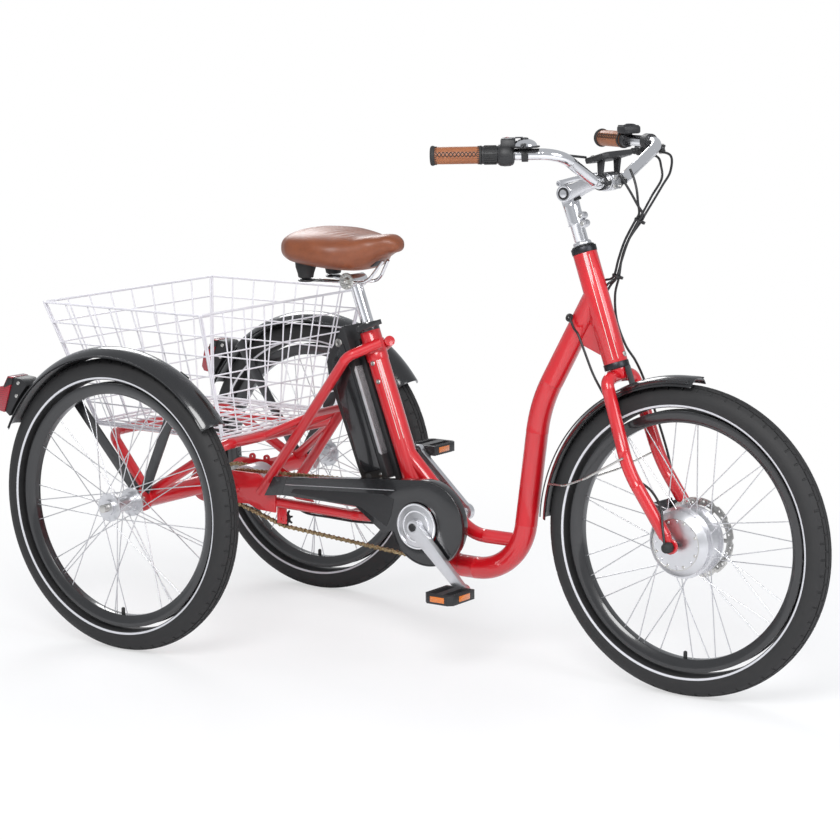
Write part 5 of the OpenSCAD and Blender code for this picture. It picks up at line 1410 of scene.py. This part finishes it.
# %% [markdown]
# Small parts finish the frame: a stepped sleeve under the seat collar, two
# bolts on the side of the seat tube, one bolt at the foot of the head tube,
# and a rubber grommet where the motor's lead leaves the down tube.

# %% Sleeve, bolts and grommet
bm = bmesh.new()
seat_axis, sleeve_bore = bench(SEAT_FOOT, SEAT_UP, FORWARD), SEAT_RADIUS - 0.0004
sleeve(bm, seat_axis, sleeve_bore, 0.0240, 0.358, 0.3850, 48)
sleeve(bm, seat_axis, sleeve_bore, 0.0230, 0.342, 0.3595, 48)
finish_piece("seat_tube_sleeve", bm, RED, "frame", bevel=0.0010)
bm = bmesh.new()
for height in (0.298, 0.338):
    bolt = bench(SEAT_FOOT + SEAT_UP * height - LEFT * 0.0214, -LEFT, SEAT_UP)
    turned(bm, bolt, [(0.0052, -0.001), (0.0054, 0.0016), (0.0042, 0.0034), (0.0022, 0.0034),
                      (0.0020, 0.0020)], 24)
crown = bench(HEAD_FOOT + STEER_FORWARD * 0.0240 + STEER_UP * 0.012,
              STEER_FORWARD, UP)
turned(bm, crown, [(0.0050, -0.001), (0.0054, 0.0012), (0.0040, 0.0030), (0.0022, 0.0030),
                   (0.0020, 0.0016)], 24)
finish_piece("frame_bolts", bm, PLATED, "frame")
bm = bmesh.new()
mouth = metres((904, -20, 733))
lead_in = bench(mouth, Vector((0.35, -0.75, -0.20)), UP)
sleeve(bm, lead_in, 0.0034, 0.0078, -0.006, 0.0030, 28)
finish_piece("lead_grommet", bm, SOFT_BLACK, "frame", bevel=0.0012)
print("sleeve, bolts and grommet set")

# %% [markdown]
# The axle nuts of the front wheel are covered with rubber caps. A ring of
# small screws closes the motor's cover, and a thin raised ring borders it.

# %% Front hub fittings
AXLE_NUT_Y, COVER_SCREWS, SCREW_CIRCLE = 0.0755, 8, 0.046
bm = bmesh.new()
for side in (-1, 1):
    cap = bench(FRONT_AXLE + LEFT * side * AXLE_NUT_Y, LEFT * side, UP)
    turned(bm, cap, [(0.0105, -0.006), (0.0112, 0.001), (0.0100, 0.007), (0.0068, 0.0105),
                     (0.0030, 0.0115)], 28)
finish_piece("front_axle_caps", bm, SOFT_BLACK, "fork")
bm = bmesh.new()
hub = bench(FRONT_AXLE, -LEFT, UP)
for k in range(COVER_SCREWS):
    screw = hub @ Matrix.Rotation(math.tau * (k + 0.5) / COVER_SCREWS, 4, "Z")
    screw = screw @ Matrix.Translation((SCREW_CIRCLE, 0, 0.043))
    turned(bm, screw, [(0.0030, -0.001), (0.0031, 0.0010), (0.0024, 0.0019), (0.0012, 0.0019),
                       (0.0011, 0.0009)], 18)
sleeve(bm, hub, 0.0500, 0.0516, 0.0424, 0.0438, 64)
finish_piece("motor_cover_screws", bm, PLATED, "front_wheel")
print("front hub fittings at", round(FRONT_AXLE.x, 3))

# %% [markdown]
# The floor is a wide plane under the wheels. It is part of the stage and not
# of the tricycle. The camera sees it as white where no shadow falls, so the
# picture has the plain ground of a catalogue.

# %% Floor
floor_mesh = bpy.data.meshes.new("floor")
FLOOR_REACH, WHITE_FROM, WHITE_AT = 30.0, 1.1, 2.3
floor_mesh.from_pydata([(-FLOOR_REACH, -FLOOR_REACH, 0), (FLOOR_REACH, -FLOOR_REACH, 0),
                        (FLOOR_REACH, FLOOR_REACH, 0), (-FLOOR_REACH, FLOOR_REACH, 0)],
                       [], [(0, 1, 2, 3)])
floor = bpy.data.objects.new("floor", floor_mesh)
scene.collection.objects.link(floor)
p = Paint("pale_floor")
p.set(color=(0.92, 0.92, 0.93), rough=0.7, specular=0.05)
x, y, z = p.xyz()
reach = (x * x + y * y * 1.6).sqrt()
ray = p.tree.nodes.new("ShaderNodeLightPath")
seen = Sock(p.tree, ray.outputs["Is Camera Ray"])
white = p.tree.nodes.new("ShaderNodeEmission")
white.inputs["Color"].default_value = (1, 1, 1, 1)
mix = p.tree.nodes.new("ShaderNodeMixShader")
fade = ((reach - WHITE_FROM) / (WHITE_AT - WHITE_FROM)).clamp()
p.tree.links.new((seen * (0.55 + fade * 0.45)).socket, mix.inputs["Fac"])
p.tree.links.new(p.shader.outputs[0], mix.inputs[1])
p.tree.links.new(white.outputs[0], mix.inputs[2])
p.tree.links.new(mix.outputs[0], p.tree.nodes["Material Output"].inputs["Surface"])
floor_mesh.materials.append(p.material)
print("floor", FLOOR_REACH * 2, "m across")
